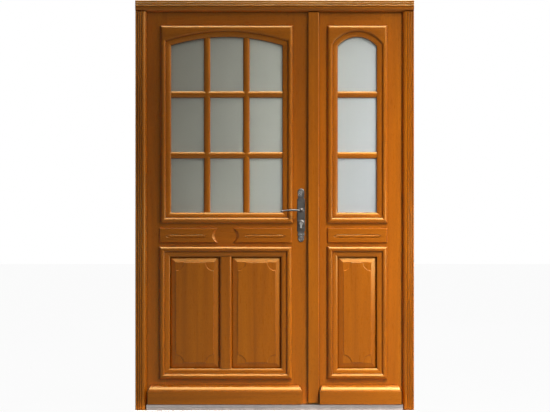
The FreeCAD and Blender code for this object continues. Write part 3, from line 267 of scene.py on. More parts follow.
def place_piece(name, shell, material, body, replaced=(), sharp=35):
    """Object with its place in its mesh, outward faces, and edges sharper than that angle kept."""
    mesh = bpy.data.meshes.new(name)
    mesh.from_pydata(shell[0].tolist(), [], shell[1])
    mesh.validate()
    mesh.shade_smooth()
    mesh.set_sharp_from_angle(angle=math.radians(sharp))
    mesh.materials.append(material)
    piece = bpy.data.objects.new(name, mesh)
    bpy.context.scene.collection.objects.link(piece)
    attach(piece, body)
    if replaced:
        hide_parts(*replaced)
    return piece


def turned(path, radii, sides=32):
    """Round rod along a path in the plane of x and z or along y.

    Point (k, a) = path[k] + radii[k] (cos a * n + sin a * b), with n and b square to the path.
    """
    path = np.asarray(path, float)
    run = np.gradient(path, axis=0)
    run /= np.linalg.norm(run, axis=1, keepdims=True)
    up = np.array([0.0, 0.0, 1.0]) if abs(run[0, 2]) < 0.9 else np.array([1.0, 0.0, 0.0])
    side = np.cross(run, up)
    side /= np.linalg.norm(side, axis=1, keepdims=True)
    over = np.cross(side, run)
    angle = np.linspace(0, 2 * np.pi, sides, endpoint=False)[None, :, None]
    radii = np.asarray(radii, float)[:, None, None]
    rings = path[:, None] + radii * (np.cos(angle) * side[:, None] - np.sin(angle) * over[:, None])
    return skin(rings[:, ::-1])


def ring_round(centre, section, sides=64):
    """Turned ring about a line along y: its closed section is pairs of radius and y.

    Point (k, a) = centre + (radius[k] cos a, y[k], radius[k] sin a).
    """
    section = np.asarray(section, float)
    angle = np.linspace(0, 2 * np.pi, sides, endpoint=False)
    radius = section[:, 0][:, None]
    rings = np.stack([centre[0] + radius * np.cos(angle),
                      np.broadcast_to(section[:, 1][:, None], (len(section), sides)),
                      centre[1] + radius * np.sin(angle)], axis=-1)
    turn = np.sum(section[:, 0] * np.roll(section[:, 1], -1)
                  - np.roll(section[:, 0], -1) * section[:, 1])
    return skin(rings if turn > 0 else rings[::-1], round_rows=True)


def smooth_curve(places, values, at, width):
    """Curve through a table of values, its corners rounded over about that width."""
    offsets = np.linspace(-1, 1, 9) * width / 2
    weights = 1 - np.abs(np.linspace(-0.9, 0.9, 9))
    samples = np.interp(at[:, None] + offsets, places, values)
    return samples @ weights / weights.sum()


def carried(path, section, flip=False):
    """Closed section carried round a closed path in the plane of x and z, mitred at each corner.

    Section pairs are (in from the path, y). At a corner the inward step is
    (n1 + n2) / (1 + n1 . n2), with n1 and n2 the inward normals of the two sides.
    """
    path = np.asarray(path, float)
    step = np.roll(path, -1, axis=0) - path
    step /= np.linalg.norm(step, axis=1, keepdims=True)
    normal = np.stack([-step[:, 1], step[:, 0]], axis=1)
    before = np.roll(normal, 1, axis=0)
    inward = (before + normal) / (1 + np.sum(before * normal, axis=1, keepdims=True))
    section = np.asarray(section, float)
    across = section[:, 0][None, :, None]
    flat = path[:, None] + across * inward[:, None]
    out = np.broadcast_to(section[:, 1][None, :, None], (*flat.shape[:2], 1))
    rings = np.concatenate([flat[..., :1], out, flat[..., 1:]], axis=-1)
    return skin(rings[:, ::-1] if flip else rings, round_rows=True)


# Sizes and colours that can be changed


def length(name, description, default):
    """A length in metres."""
    return bpy.props.FloatProperty(name=name, description=description, default=default,
                                   min=0.0, subtype="DISTANCE", unit="LENGTH", precision=4)


def colour(name, description, default):
    """A colour, given as sRGB hex."""
    return bpy.props.FloatVectorProperty(name=name, description=description, size=4,
                                         default=linear(default), min=0.0, max=1.0,
                                         subtype="COLOR")


class DoorSizes(bpy.types.PropertyGroup):
    """Sizes of the fine pieces."""

    grip: length("Grip", "Radius of the lever's belly", 5.6 * MM)
    ball: length("Ball", "Radius of the ball over the lever's neck", 9.4 * MM)
    droop: length("Droop", "How far the lever's tip hangs below its root", 4 * MM)
    rim: length("Rim", "Raised rim along the edge of the handle plates", 0.6 * MM)
    screw: length("Screw", "Radius of a screw head", 4.2 * MM)
    seal: length("Seal", "Sealing bead round the glass", 1.5 * MM)
    reed: length("Reed", "Depth of the grooves between the frame's reeds", 5.4 * MM)
    border: length("Border", "Sloping border of the raised panels", 30 * MM)
    step: length("Step", "Low step round the field of the raised panels", 3.5 * MM)
    scallop: length("Scallop", "Hollow corners of the panels' field", 43 * MM)


class DoorColours(bpy.types.PropertyGroup):
    """Colours of the finishes."""

    wood: colour("Wood", "Varnished wood", "#b45e04")
    wood_dark: colour("Wood, dark", "Dark bands of the varnished wood", "#a05004")
    wood_light: colour("Wood, light", "Light bands of the varnished wood", "#c26a08")
    # Lightest end of the glass's painted light gradient, at the lower right
    glass: colour("Glass", "Etched glass", "#d6dadc")
    iron: colour("Iron", "Patinated iron of levers and plates", "#4c4946")
    nickel: colour("Nickel", "Plated lock cylinder", "#d2cec6")
    steel: colour("Steel", "Brushed steel of the lock", "#b4b2ac")
    zinc: colour("Zinc", "Plated steel of the hinges", "#a9a59b")
    aluminium: colour("Aluminium", "Anodised threshold", "#a8a09c")


# Pieces


LEVEL = ("frame_head", "door_rail_top", "door_rail_lock", "door_rail_bottom", "side_rail_top",
         "side_rail_lock", "side_rail_bottom", "door_drip_bar", "side_drip_bar",
         "door_frieze_left", "door_frieze_right", "side_frieze", "door_glazing_head",
         "side_glazing_head")
PANELS = ("door_panel_left", "door_panel_right", "side_panel")


class FinishNodes(bpy.types.Operator):
    """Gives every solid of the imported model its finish"""

    bl_idname = "door.finish_nodes"
    bl_label = "Finish the packed solids"

    def execute(self, context):
        colours = context.scene.door_colours
        woods = {
            "level": varnished_wood("varnished_wood_level", "X", (0.3, 0.1, 0.7)),
            "panel": varnished_wood("varnished_wood_panel", "Z", (1.7, 0.4, 0.2)),
            "left": varnished_wood("varnished_wood_upright_a", "Z", (0.0, 0.0, 0.0)),
            "right": varnished_wood("varnished_wood_upright_b", "Z", (5.1, 2.3, 0.9)),
        }
        finishes = {
            "frosted_glass": satin_glass(),
            # Patinated cast iron, waxed: dark, blotchy, with soft dull highlights
            "dark_iron": metal("patinated_iron", colours.iron, 0.42, 0.0015, metallic=0.9,
                               depth=0.12, contrast=0.6),
            # Brushed stainless steel: fine upright scratches that draw the highlights out
            "lock_steel": metal("brushed_steel", colours.steel, 0.3, 0.0006, (1, 1, 0.02)),
            # Zinc-plated steel, rolled and pressed: pale and slightly cloudy
            "hinge_steel": metal("zinc_plated_steel", colours.zinc, 0.36, 0.004),
            # Nickel plate on turned brass: bright, with the finest turning marks
            "nickel": metal("nickel_plate", colours.nickel, 0.18, 0.0004, depth=0.01,
                            spread=0.06, contrast=0.92),
            # Anodised aluminium, extruded: satin, with drawn lines along its length
            "sill_aluminium": metal("anodised_aluminium", colours.aluminium, 0.38, 0.0008,
                                    (0.01, 1, 1), contrast=0.9),
            # Mill-finish aluminium, rolled: dull grey with long rolling lines
            "spacer_bar": metal("mill_aluminium", colours.steel, 0.45, 0.0008, (0.05, 1, 0.05)),
        }
        slots = {row["node"]: row["material_slot"] for row in frame["record"]["subparts"]}
        for name, solid in NODES.items():
            if slots[name] == "varnished_wood":
                if name in LEVEL:
                    chosen = woods["level"]
                elif name in PANELS:
                    chosen = woods["panel"]
                else:
                    chosen = woods["right" if "side" in name or "right" in name else "left"]
            else:
                chosen = finishes[slots[name]]
            solid.data.materials.clear()
            solid.data.materials.append(chosen)
        return {"FINISHED"}


class MakeLevers(bpy.types.Operator):
    """Turned lever handles, drooping to a ball, one on each face of the door"""

    bl_idname = "door.make_levers"
    bl_label = "Levers"

    def execute(self, context):
        sizes = context.scene.door_sizes
        spindle = np.array(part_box("spindle"))
        middle_x, middle_z = spindle[:, 0].mean(), spindle[:, 2].mean()
        for node, sign in (("lever_outside", -1), ("lever_inside", 1)):
            low, high = np.array(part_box(node))
            foot, tip = (high[1], low[1]) if sign < 0 else (low[1], high[1])
            centre = tip - sign * sizes.ball
            run = np.linspace(0, 1, 120)
            start = middle_x - sizes.ball * 0.7
            x = start + (low[0] + 1 * MM - start) * run
            z = middle_z + sizes.droop * (0.7 * np.sin(np.pi * run) - run ** 1.5)
            places = (0, .05, .08, .11, .14, .2, .34, .5, .66, .8, .865, .89, .92, .95, .98, 1)
            shares = (.9, 1.05, .8, 1, .78, .86, 1, .96, .84, .72, .66, .8, 1.02, 1.06, .85, .2)
            radius = sizes.grip * smooth_curve(places, shares, run, 0.012)
            grip = turned(np.stack([x, np.full_like(x, centre), z], axis=1), radius)
            reach = np.linspace(0, 1, 90)
            y = foot + (tip - foot) * 0.999 * reach
            depth = abs(y - centre)
            ball = np.sqrt(np.clip(sizes.ball ** 2 - depth ** 2, 0, None))
            neck = smooth_curve((0, .04, .06, .09, .3, .5, .56, .6, .64, .7, 1),
                                (.95, .95, .8, .66, .55, .58, .78, .8, .62, .6, .1), reach, 0.02)
            radius = np.maximum(np.maximum(ball, neck * sizes.grip * 1.5 * (depth > sizes.ball * 0.6)),
                                0.2 * MM)
            bent = np.clip(reach * 2 - 1, 0, 1)
            lift = 4 * MM * bent ** 2 * (3 - 2 * bent)
            post = turned(np.stack([np.full_like(y, middle_x), y, middle_z + lift], axis=1), radius)
            place_piece("turned_" + node, joined(grip, post), bpy.data.materials["patinated_iron"],
                        "handle", (node,))
        return {"FINISHED"}


PLATE_HEAD = ((0.1, 0), (0.26, 0.07), (0.37, 0.2), (0.43, 0.4), (0.44, 0.6), (0.41, 0.78),
              (0.36, 0.88), (0.47, 0.97), (0.34, 1.08), (0.4, 1.24), (0.5, 1.32))
PLATE_FOOT = ((0.04, 0), (0.2, 0.05), (0.28, 0.14), (0.3, 0.24), (0.4, 0.32), (0.44, 0.46),
              (0.42, 0.58), (0.34, 0.68), (0.43, 0.78), (0.47, 0.92), (0.44, 1.06), (0.38, 1.14), (0.42, 1.28),
              (0.5, 1.38))


class MakePlates(bpy.types.Operator):
    """Lobed handle plates with a raised rim, and the rings round spindle and cylinder"""

    bl_idname = "door.make_plates"
    bl_label = "Handle plates"

    def execute(self, context):
        sizes = context.scene.door_sizes
        spindle, cylinder = np.array(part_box("spindle")), np.array(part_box("lock_cylinder"))
        for node, sign in (("handle_plate_outside", -1), ("handle_plate_inside", 1)):
            low, high = np.array(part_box(node))
            back, front = (high[1], low[1]) if sign < 0 else (low[1], high[1])
            width = high[0] - low[0]
            middle = (low[0] + high[0]) / 2
            height = high[2] - low[2]
            head, foot = np.array(PLATE_HEAD) * width, np.array(PLATE_FOOT) * width
            places = np.concatenate([foot[:, 1], (height - head[:, 1])[::-1]])
            halves = np.concatenate([foot[:, 0], head[::-1, 0]])
            z = np.linspace(0, height, 260)
            half = smooth_curve(places, halves, z, 2 * MM)
            end = np.minimum(z, height - z)
            thick = 4 * MM * np.clip(end / (4 * MM) + 0.12, 0, 1) ** 0.5
            across = np.sin(np.linspace(-np.pi / 2, np.pi / 2, 61))
            crown = (1 - np.abs(across) ** 8) ** 0.5
            rim = np.exp(-((np.abs(across) - 0.84) / 0.06) ** 2)
            out = thick[:, None] * (0.15 + 0.7 * crown) + sizes.rim * rim * (thick[:, None] / (4 * MM))
            # Chased ends: ripples 9 mm apart round the middle of each lobe, within 48 mm of the end
            chased = np.clip((48 * MM - end) / (6 * MM), 0, 1)[:, None]
            lobe = np.hypot(half[:, None] * across, (end - 19 * MM)[:, None])
            ripple = 0.5 + 0.5 * np.cos(2 * np.pi * lobe / (9 * MM)) * np.cos(
                4 * np.arctan2(half[:, None] * across, (end - 19 * MM)[:, None]))
            out = out + 2 * MM * chased * ripple * crown * (thick[:, None] / (4 * MM))
            face = np.stack([middle + half[:, None] * across, back + sign * out,
                             np.broadcast_to((low[2] + z)[:, None], out.shape)], axis=-1)
            rear = np.stack([middle + half[:, None] * across[[-1, 0]],
                             np.full((len(z), 2), back),
                             np.broadcast_to((low[2] + z)[:, None], (len(z), 2))], axis=-1)
            rings = np.concatenate([face, rear], axis=1)
            shells = [skin(rings if sign < 0 else rings[:, ::-1])]
            for inner, outer, rise, bore in ((spindle, 13 * MM, 2.2 * MM, 6.6 * MM),
                                             (cylinder, 20.5 * MM, 4 * MM, 9.2 * MM)):
                centre = (middle, inner[:, 2].mean() if inner is spindle else
                          inner[1, 2] - 8.5 * MM)
                top = back + sign * 4 * MM
                # Domed collar: height = rise (1 - (1 - s)^2) at the share s from rim to bore
                section = [(bore, back + sign * MM), (outer, back + sign * MM),
                           *[(outer - (outer - bore) * s, top + sign * rise * (1 - (1 - s) ** 2))
                             for s in np.linspace(0, 1, 11)]]
                shells.append(ring_round(centre, section))
            place_piece("lobed_" + node, joined(*shells), bpy.data.materials["patinated_iron"],
                        NODES[node]["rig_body"], (node,))
        return {"FINISHED"}


def straight(section, start, stop, along):
    """Closed section carried straight along x or z, with its ends capped.

    Section pairs are (across, y), where across is z for a piece along x and x for one along z.
    """
    section = np.asarray(section, float)
    reach = np.array([start, stop], float)[:, None]
    across, out = (np.broadcast_to(part, (2, len(section))) for part in section.T)
    run = np.broadcast_to(reach, (2, len(section)))
    parts = (run, out, across) if along == "X" else (across, out, run)
    rings = np.stack(parts, axis=-1)
    turn = np.sum(section[:, 0] * np.roll(section[:, 1], -1)
                  - np.roll(section[:, 0], -1) * section[:, 1])
    outward = (turn > 0) == (along == "X")
    return skin(rings if outward else rings[:, ::-1])


def stacked(outlines, levels, facing):
    """Closed shell through outlines in the plane of x and z, each at its own y.

    Every outline is an array of points by 2, counter-clockwise seen from the front (from -y).
    """
    rings = np.stack([np.stack([outline[:, 0], np.full(len(outline), level), outline[:, 1]], axis=1)
                      for outline, level in zip(outlines, levels)])
    return skin(rings if facing < 0 else rings[:, ::-1])


def scalloped(left, right, low, high, radius, count=15):
    """Rectangle whose corners are hollowed by quarter circles of that radius about the corners."""
    corners = ((left, low, 90, 0), (right, low, 180, 90), (right, high, 270, 180),
               (left, high, 360, 270))
    arcs = []
    for x, z, first, last in corners:
        angle = np.radians(np.linspace(first, last, count))
        arcs.append(np.stack([x + radius * np.cos(angle), z + radius * np.sin(angle)], axis=1))
    return np.concatenate(arcs)


def oblong(left, right, low, high):
    """Corners of a rectangle, counter-clockwise seen from the front."""
    return np.array([[left, low], [right, low], [right, high], [left, high]])


LAP = 56 * MM
MEMBERS = ("bottom", "right", "head", "left")
# Inner side of a moulding, in mm: out from the sight edge and above the leaf's face
MOULDING_INNER = ((38, 18), (36, 17.8), (34, 17.1), (32, 15.8), (30.2, 13.9), (28.8, 11.6), (27.8, 9),
                  (27.2, 6.2), (25.6, 5.2), (25.4, 6.3), (22, 6.3), (18, 6), (14, 5.4), (10, 4.5),
                  (6, 3.2), (3, 1.9), (1, 0.7), (0, 0))


def arch_over(left, right, spring, crown, count=49):
    """Arc from the right spring over the crown to the left one, in the plane of x and z.

    Its radius is (half^2 + rise^2) / (2 rise).
    """
    half, rise = (right - left) / 2, crown - spring
    radius = (half ** 2 + rise ** 2) / (2 * rise)
    reach = math.asin(half / radius)
    turn = np.linspace(reach, -reach, count)
    return np.stack([(left + right) / 2 + radius * np.sin(turn),
                     crown - radius + radius * np.cos(turn)], axis=1)


def spread_out(path, away):
    """Closed counter-clockwise path moved outwards, its corners mitred."""
    step = np.roll(path, -1, axis=0) - path
    step /= np.linalg.norm(step, axis=1, keepdims=True)
    normal = np.stack([step[:, 1], -step[:, 0]], axis=1)
    before = np.roll(normal, 1, axis=0)
    return path + away * (before + normal) / (1 + np.sum(before * normal, axis=1, keepdims=True))


class MakeFrame(bpy.types.Operator):
    """Jambs and head with three reeds and a quarter round"""

    bl_idname = "door.make_frame"
    bl_label = "Reeded frame"

    def execute(self, context):
        sizes = context.scene.door_sizes
        box = np.array(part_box("frame_head"))
        front, rear = box[0, 1], box[1, 1]
        pitch, depth = 11.5 * MM, sizes.reed
        round_size = 22 * MM
        swing = np.linspace(-1, 1, 13)
        # Reed k: across = pitch (k + (u + 1) / 2), behind = depth (1 - sqrt(1 - u^2)), u from -1 to 1
        across = (np.arange(3)[:, None] + (swing + 1) / 2) * pitch
        behind = np.broadcast_to(depth * (1 - np.sqrt(1 - swing ** 2)), across.shape)
        reeds = np.stack([across.ravel(), behind.ravel()], axis=1)
        turn = np.linspace(0, np.pi / 2, 17)
        bend = np.stack([38 * MM + round_size * np.sin(turn), round_size * (1 - np.cos(turn))], axis=1)
        profile = np.concatenate([reeds, [[35.4 * MM, 0.6 * MM], [36 * MM, 0]], bend,
                                  [[42 * MM, round_size], [42 * MM, rear - front], [0, rear - front]]])
        profile[:, 1] += front
        for node, side in (("frame_jamb_left", -1), ("frame_jamb_right", 1)):
            low, high = np.array(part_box(node))
            section = profile * [1, 1]
            section[:, 0] = side * (box[1, 0] - profile[:, 0])
            foot = straight(section, low[2], high[2] - 18 * MM, "Z")
            tenon = [(side * box[1, 0], front + round_size), (side * (box[1, 0] - 42 * MM),
                     front + round_size), (side * (box[1, 0] - 42 * MM), rear), (side * box[1, 0], rear)]
            wood = bpy.data.materials["varnished_wood_upright_" + ("a" if side < 0 else "b")]
            place_piece("reeded_" + node, joined(foot, straight(tenon, high[2] - 18 * MM, high[2], "Z")),
                        wood, "root", (node,))
        section = profile * [-1, 1] + [box[1, 2], 0]
        place_piece("reeded_frame_head", straight(section, box[0, 0], box[1, 0], "X"),
                    bpy.data.materials["varnished_wood_level"], "root",
                    ("frame_head",))
        return {"FINISHED"}


class MakeMouldings(bpy.types.Operator):
    """Raised mouldings round glass and panels: outer round, crest, quirk and inner slope"""

    bl_idname = "door.make_mouldings"
    bl_label = "Raised mouldings"

    def execute(self, context):
        uprights = bpy.data.materials["varnished_wood_upright_a"]
        level = bpy.data.materials["varnished_wood_level"]
        for leaf in ("door", "side"):
            for kind in ("glazing", "panel"):
                nodes = [f"{leaf}_{kind}_moulding"]
                box = np.array(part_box(nodes[0]))
                left, right, low, high = box[0, 0], box[1, 0], box[0, 2], box[1, 2]
                front, rear = box[0, 1], box[1, 1]
                sight = oblong(left + LAP, right - LAP, low + LAP, high - LAP)
                outer = lambda inset: oblong(left + inset, right - inset, low + inset, high - inset)
                spans = (((0, 1), level), ((1, 2), uprights), ((2, 3), level), ((3, 4), uprights))
                if kind == "glazing":
                    nodes.append(leaf + "_glazing_head")
                    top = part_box(nodes[1])[1][2]
                    arch = arch_over(left + LAP, right - LAP, high, top - 60 * MM)
                    side = high - MM
                    sight = np.concatenate([[[left + LAP, low + LAP], [right - LAP, low + LAP],
                                             [right - LAP, side]], arch, [[left + LAP, side]]])
                    share = (arch[:, 0] - left - LAP) / (right - left - 2 * LAP)

                    def outer(inset):
                        first, last = left + inset, right - inset
                        head = np.stack([first + (last - first) * share,
                                         np.full(len(share), top - inset)], axis=1)
                        return np.concatenate([[[first, low + inset], [last, low + inset],
                                                [last, side]], head, [[first, side]]])

                    count = len(sight)
                    spans = (((0, 1), level), ((1, 2), uprights), ((2, count - 1), level),
                             ((count - 1, count), uprights))
                leaf_face = front + 18 * MM
                turn = np.linspace(0, np.pi / 2, 9)
                loops = [(outer(0), leaf_face), (outer(0), leaf_face - 3 * MM)]
                loops += [(outer(15 * MM * (1 - math.cos(a))),
                           leaf_face - 3 * MM - 15 * MM * math.sin(a)) for a in turn[1:]]
                loops += [(spread_out(sight, away * MM), leaf_face - height * MM)
                          for away, height in MOULDING_INNER]
                loops += [(sight, rear), (spread_out(sight, 20 * MM), rear),
                          (spread_out(sight, 20 * MM), leaf_face)]
                grid = np.stack([np.insert(loop, 1, depth, axis=1) for loop, depth in loops])
                for number, ((first, last), wood) in enumerate(spans):
                    rings = grid[:, np.arange(first, last + 1) % grid.shape[1]].transpose(1, 0, 2)
                    place_piece(f"moulded_{leaf}_{kind}_{MEMBERS[number]}", skin(rings), wood,
                                NODES[nodes[0]]["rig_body"],
                                nodes if number == 0 else (), sharp=20)
        return {"FINISHED"}


class MakePanels(bpy.types.Operator):
    """Raised panels: a sloping border, a low step, and a field with hollow corners"""

    bl_idname = "door.make_panels"
    bl_label = "Raised panels"

    def execute(self, context):
        sizes = context.scene.door_sizes
        wood = bpy.data.materials["varnished_wood_panel"]
        trim, muntin = np.array(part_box("door_panel_moulding")), np.array(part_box("door_muntin"))
        side = np.array(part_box("side_panel_moulding"))
        lap = 56 * MM
        low, high = trim[0, 2] + lap, trim[1, 2] - lap
        middle = muntin[:, 0].mean()
        sights = {"door_panel_left": (trim[0, 0] + lap, middle - 33.5 * MM),
                  "door_panel_right": (middle + 33.5 * MM, trim[1, 0] - lap),
                  "side_panel": (side[0, 0] + lap, side[1, 0] - lap)}
        for node, (left, right) in sights.items():
            box = np.array(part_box(node))
            plate = box[0, 1] + 14 * MM, box[1, 1] - 14 * MM
            shells = [stacked([oblong(box[0, 0], box[1, 0], box[0, 2], box[1, 2])] * 2,
                              plate[::-1], -1)]
            for face, sign in ((plate[0], -1), (plate[1], 1)):
                rise = box[0, 1] if sign < 0 else box[1, 1]
                shelf = rise - sign * sizes.step
                edge = sizes.border
                outlines = [oblong(left + inset, right - inset, low + inset, high - inset)
                            for inset in (0, 0, edge)]
                shells.append(stacked(outlines, (face - sign * MM, face, shelf), sign))
                field = (left + edge + MM, right - edge - MM, low + edge + MM, high - edge - MM)
                easing = 2.5 * MM
                outlines = [scalloped(field[0] + inset, field[1] - inset, field[2] + inset,
                                      field[3] - inset, sizes.scallop)
                            for inset in (0, 0, easing * 0.3, easing)]
                shells.append(stacked(outlines, (shelf - sign * MM, rise - sign * easing,
                                                 rise - sign * easing * 0.3, rise), sign))
            place_piece("raised_" + node, joined(*shells), wood, NODES[node]["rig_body"],
                        (node,), sharp=8)
        return {"FINISHED"}


class MakeFriezes(bpy.types.Operator):
    """Raised blocks of the lock rail, with hollow ends and a ribbed groove"""

    bl_idname = "door.make_friezes"
    bl_label = "Frieze blocks"

    def execute(self, context):
        wood = bpy.data.materials["varnished_wood_level"]
        for node, hollow in (("door_frieze_left", 1), ("door_frieze_right", -1), ("side_frieze", 0)):
            low, high = np.array(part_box(node))
            across = np.linspace(0, 1, 241)
            up = np.linspace(0, 1, 61)
            rise_z = (up - 0.5) * 2
            bow = 1 - rise_z ** 2
            edge = 5 * MM
            # Columns crowd towards the ends, so that the sloping edges stay crisp
            ends = np.array([0, 0.5, 1, 1.5, 2, 3, 4, 5, 5.5]) * MM
            width, height = high[0] - low[0], high[2] - low[2]
            inner = np.linspace(6 * MM, width - 6 * MM, 220)
            along = np.concatenate([ends, inner, width - ends[::-1]])
            across_z = np.concatenate([ends, np.linspace(6 * MM, height - 6 * MM, 70),
                                       height - ends[::-1]])
            z_share = (across_z / height - 0.5) * 2
            bow = 1 - z_share ** 2
            # The hollow end draws the columns in by its depth times 1 - z^2, and the slope there
            # widens with the same bow
            left_in = (20 * MM * bow if hollow < 0 else 0 * bow)[None, :]
            right_in = (20 * MM * bow if hollow > 0 else 0 * bow)[None, :]
            share = (along / width)[:, None]
            x = left_in + share * (width - left_in - right_in)
            z = np.broadcast_to(across_z[None, :], x.shape)
            slope_left = edge + (8 * MM * bow if hollow < 0 else 0)
            slope_right = edge + (8 * MM * bow if hollow > 0 else 0)
            wall = np.minimum(np.minimum((x - left_in) / slope_left,
                                         (width - right_in - x) / slope_right),
                              np.minimum(z, height - z) / edge)
            out = 10 * MM * np.clip(wall, 0, 1)
            start = 36 * MM + (30 * MM if hollow < 0 else 0)
            finish = width - 36 * MM - (30 * MM if hollow > 0 else 0)
            # Two sharp grooves 7.5 mm off the middle, which meet in a point over 16 mm at both ends
            reach = np.clip(np.minimum(x - start, finish - x) / (16 * MM), 0, 1)
            off = np.abs(np.abs(z - 38 * MM) - 7.5 * MM * reach)
            out = out - 3 * MM * np.clip(1 - off / (2.4 * MM), 0, 1) * np.clip(reach * 8, 0, 1)
            front = np.stack([low[0] + x, high[1] - out, low[2] + z], axis=-1)
            rows, columns = x.shape
            index = np.arange(rows * columns).reshape(rows, columns)
            quad = np.stack([index[:-1, :-1], index[1:, :-1], index[1:, 1:], index[:-1, 1:]],
                            axis=-1).reshape(-1, 4).tolist()
            rim = np.concatenate([index[0, :], index[1:, -1], index[-1, -2::-1], index[-2:0:-1, 0]])
            quad.append(rim.tolist())
            place_piece("carved_" + node, (front.reshape(-1, 3), quad), wood,
                        NODES[node]["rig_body"], (node,), sharp=25)
        return {"FINISHED"}


class MakeBars(bpy.types.Operator):
    """Rounded glazing bars on both faces of the glass"""

    bl_idname = "door.make_bars"
    bl_label = "Glazing bars"

    def execute(self, context):
        half = 17.5 * MM
        for leaf, body in (("door", "door_leaf"), ("side", "root")):
            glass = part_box(leaf + "_glass")
            trim = np.array(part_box(leaf + "_glazing_moulding"))
            left, right, base = trim[0, 0] + 56 * MM, trim[1, 0] - 56 * MM, trim[0, 2] + 56 * MM
            spring, crown = trim[1, 2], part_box(leaf + "_glazing_head")[1][2] - 60 * MM
            rise = crown - spring
            radius = (((right - left) / 2) ** 2 + rise ** 2) / (2 * rise)
            step = (crown - base) / 3
            step = (crown - base + 35 * MM) / 3
            columns = (right - left + 35 * MM) / 3
            wood = bpy.data.materials["varnished_wood_upright_a"]
            flat = bpy.data.materials["varnished_wood_level"]
            for node, face, sign in ((leaf + "_glazing_bars", glass[0][1], -1),
                                     (leaf + "_glazing_bars_inside", glass[1][1], 1)):
                low, high = np.array(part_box(node))
                deep = (high[1] - low[1])
                turn = np.linspace(np.pi, 0, 25)
                # Half of a flattened round: across = half cos a, out = 2.5 mm + 9.5 mm sin a ^ 0.8
                arc = np.stack([half * np.cos(turn),
                                face + sign * (2.5 * MM + (deep - 2.5 * MM) * np.sin(turn) ** 0.8)],
                               axis=1)
                section = np.concatenate([[[-half, face]], arc, [[half, face]]])
                rows = [straight(section + [[base + step * k - half, 0]], left - 14 * MM,
                                 right + 14 * MM, "X") for k in (1, 2)]
                place_piece("rounded_" + node, joined(*rows), flat, body, (node,),
                            sharp=50)
                if leaf == "side":
                    continue
                shells = []
                for k in (1, 2):
                    middle = left + columns * k - half
                    arch = crown - radius + math.sqrt(radius ** 2 - (middle - (left + right) / 2) ** 2)
                    shells.append(straight(section + [[middle, 0]], base - 14 * MM, arch + 12 * MM, "Z"))
                place_piece("rounded_" + node + "_uprights", joined(*shells), wood, body,
                            sharp=50)
        return {"FINISHED"}


class MakeSeals(bpy.types.Operator):
    """Sealing bead between the glass and its mouldings, outside and inside"""

    bl_idname = "door.make_seals"
    bl_label = "Glass seals"

    def execute(self, context):
        size = context.scene.door_sizes.seal
        rubber = sealing_rubber()
        for leaf, body in (("door", "door_leaf"), ("side", "root")):
            trim, glass = np.array(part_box(leaf + "_glazing_moulding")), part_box(leaf + "_glass")
            lap = 56 * MM
            left, right, base = trim[0, 0] + lap, trim[1, 0] - lap, trim[0, 2] + lap
            spring, crown = trim[1, 2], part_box(leaf + "_glazing_head")[1][2] - 60 * MM
            half = (right - left) / 2
            rise = crown - spring
            radius = (half ** 2 + rise ** 2) / (2 * rise)
            turn = np.linspace(math.asin(half / radius), -math.asin(half / radius), 49)
            arch = np.stack([(left + right) / 2 + radius * np.sin(turn),
                             crown - radius + radius * np.cos(turn)], axis=1)
            path = np.concatenate([[[left, base], [right, base]], arch])
            steps = np.linspace(0, np.pi / 2, 5)
            shells = []
            for face, sign in ((glass[0][1], -1), (glass[1][1], 1)):
                section = [(-0.2 * MM, face + sign * 0.02 * MM)]
                section += [(size * math.cos(a), face + sign * size * math.sin(a)) for a in steps]
                section += [(-0.2 * MM, face + sign * size)]
                shells.append(carried(path, section, flip=sign < 0))
            place_piece(leaf + "_glass_seal", joined(*shells), rubber, body)
        return {"FINISHED"}


SCREW_RINGS = ((1.0, 0.0), (1.0, 0.12), (0.9, 0.22), (0.55, 0.3))


def screws(places, outward, radius):
    """Countersunk heads with a crossed slot, facing outward, as one mesh.

    Ring k of a head has the radius and rise of SCREW_RINGS; the slot's ring is
    radius * (0.26 + 0.16 cos 4a), and drops back into the head.
    """
    angle = np.linspace(0, 2 * np.pi, 24, endpoint=False)
    star = 0.26 + 0.16 * np.cos(4 * angle)
    reach = np.array([np.full(24, share) for share, _ in SCREW_RINGS] + [star, star * 0.9])
    rise = np.array([level for _, level in SCREW_RINGS] + [0.32, 0.02])[:, None] * np.ones(24)
    outward = np.asarray(outward, float)
    aside = np.array([0.0, 0.0, 1.0])
    over = np.cross(outward, aside)
    rings = radius * (reach[..., None] * (np.cos(angle)[:, None] * over
                                          + np.sin(angle)[:, None] * aside)
                      + rise[..., None] * outward)
    points, faces = skin(rings[:, ::-1])
    return joined(*[(points + np.asarray(place, float), faces) for place in places])


class MakeScrews(bpy.types.Operator):
    """Screws of the handle plates and hinges"""

    bl_idname = "door.make_screws"
    bl_label = "Screws"

    def execute(self, context):
        radius = context.scene.door_sizes.screw
        iron, zinc = bpy.data.materials["patinated_iron"], bpy.data.materials["zinc_plated_steel"]
        shells = []
        for node, sign in (("handle_plate_outside", -1), ("handle_plate_inside", 1)):
            low, high = np.array(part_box(node))
            face = (high[1] if sign < 0 else low[1]) + sign * 3.3 * MM
            middle = (low[0] + high[0]) / 2
            shells.append(screws([(middle, face, low[2] + 21 * MM), (middle, face, high[2] - 22 * MM)],
                                 (0, sign, 0), radius))
        place_piece("plate_screws", joined(*shells), iron, "door_leaf")
        heights = np.array([0.230, 1.095, 1.960])
        for node, body, side in (("door_hinges_frame", "root", 0), ("door_hinges_leaf", "door_leaf", 1),
                                 ("side_hinges_frame", "root", 1), ("side_hinges_leaf", "root", 0)):
            low, high = np.array(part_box(node))
            x = low[0] + 11 * MM if side == 0 else high[0] - 11 * MM
            places = [(x, low[1] + 3 * MM if False else 39 * MM, z + step)
                      for z in heights for step in (-0.044, 0, 0.044)]
            place_piece(node + "_screws", screws(places, (0, 1, 0), radius), zinc, body)
        return {"FINISHED"}


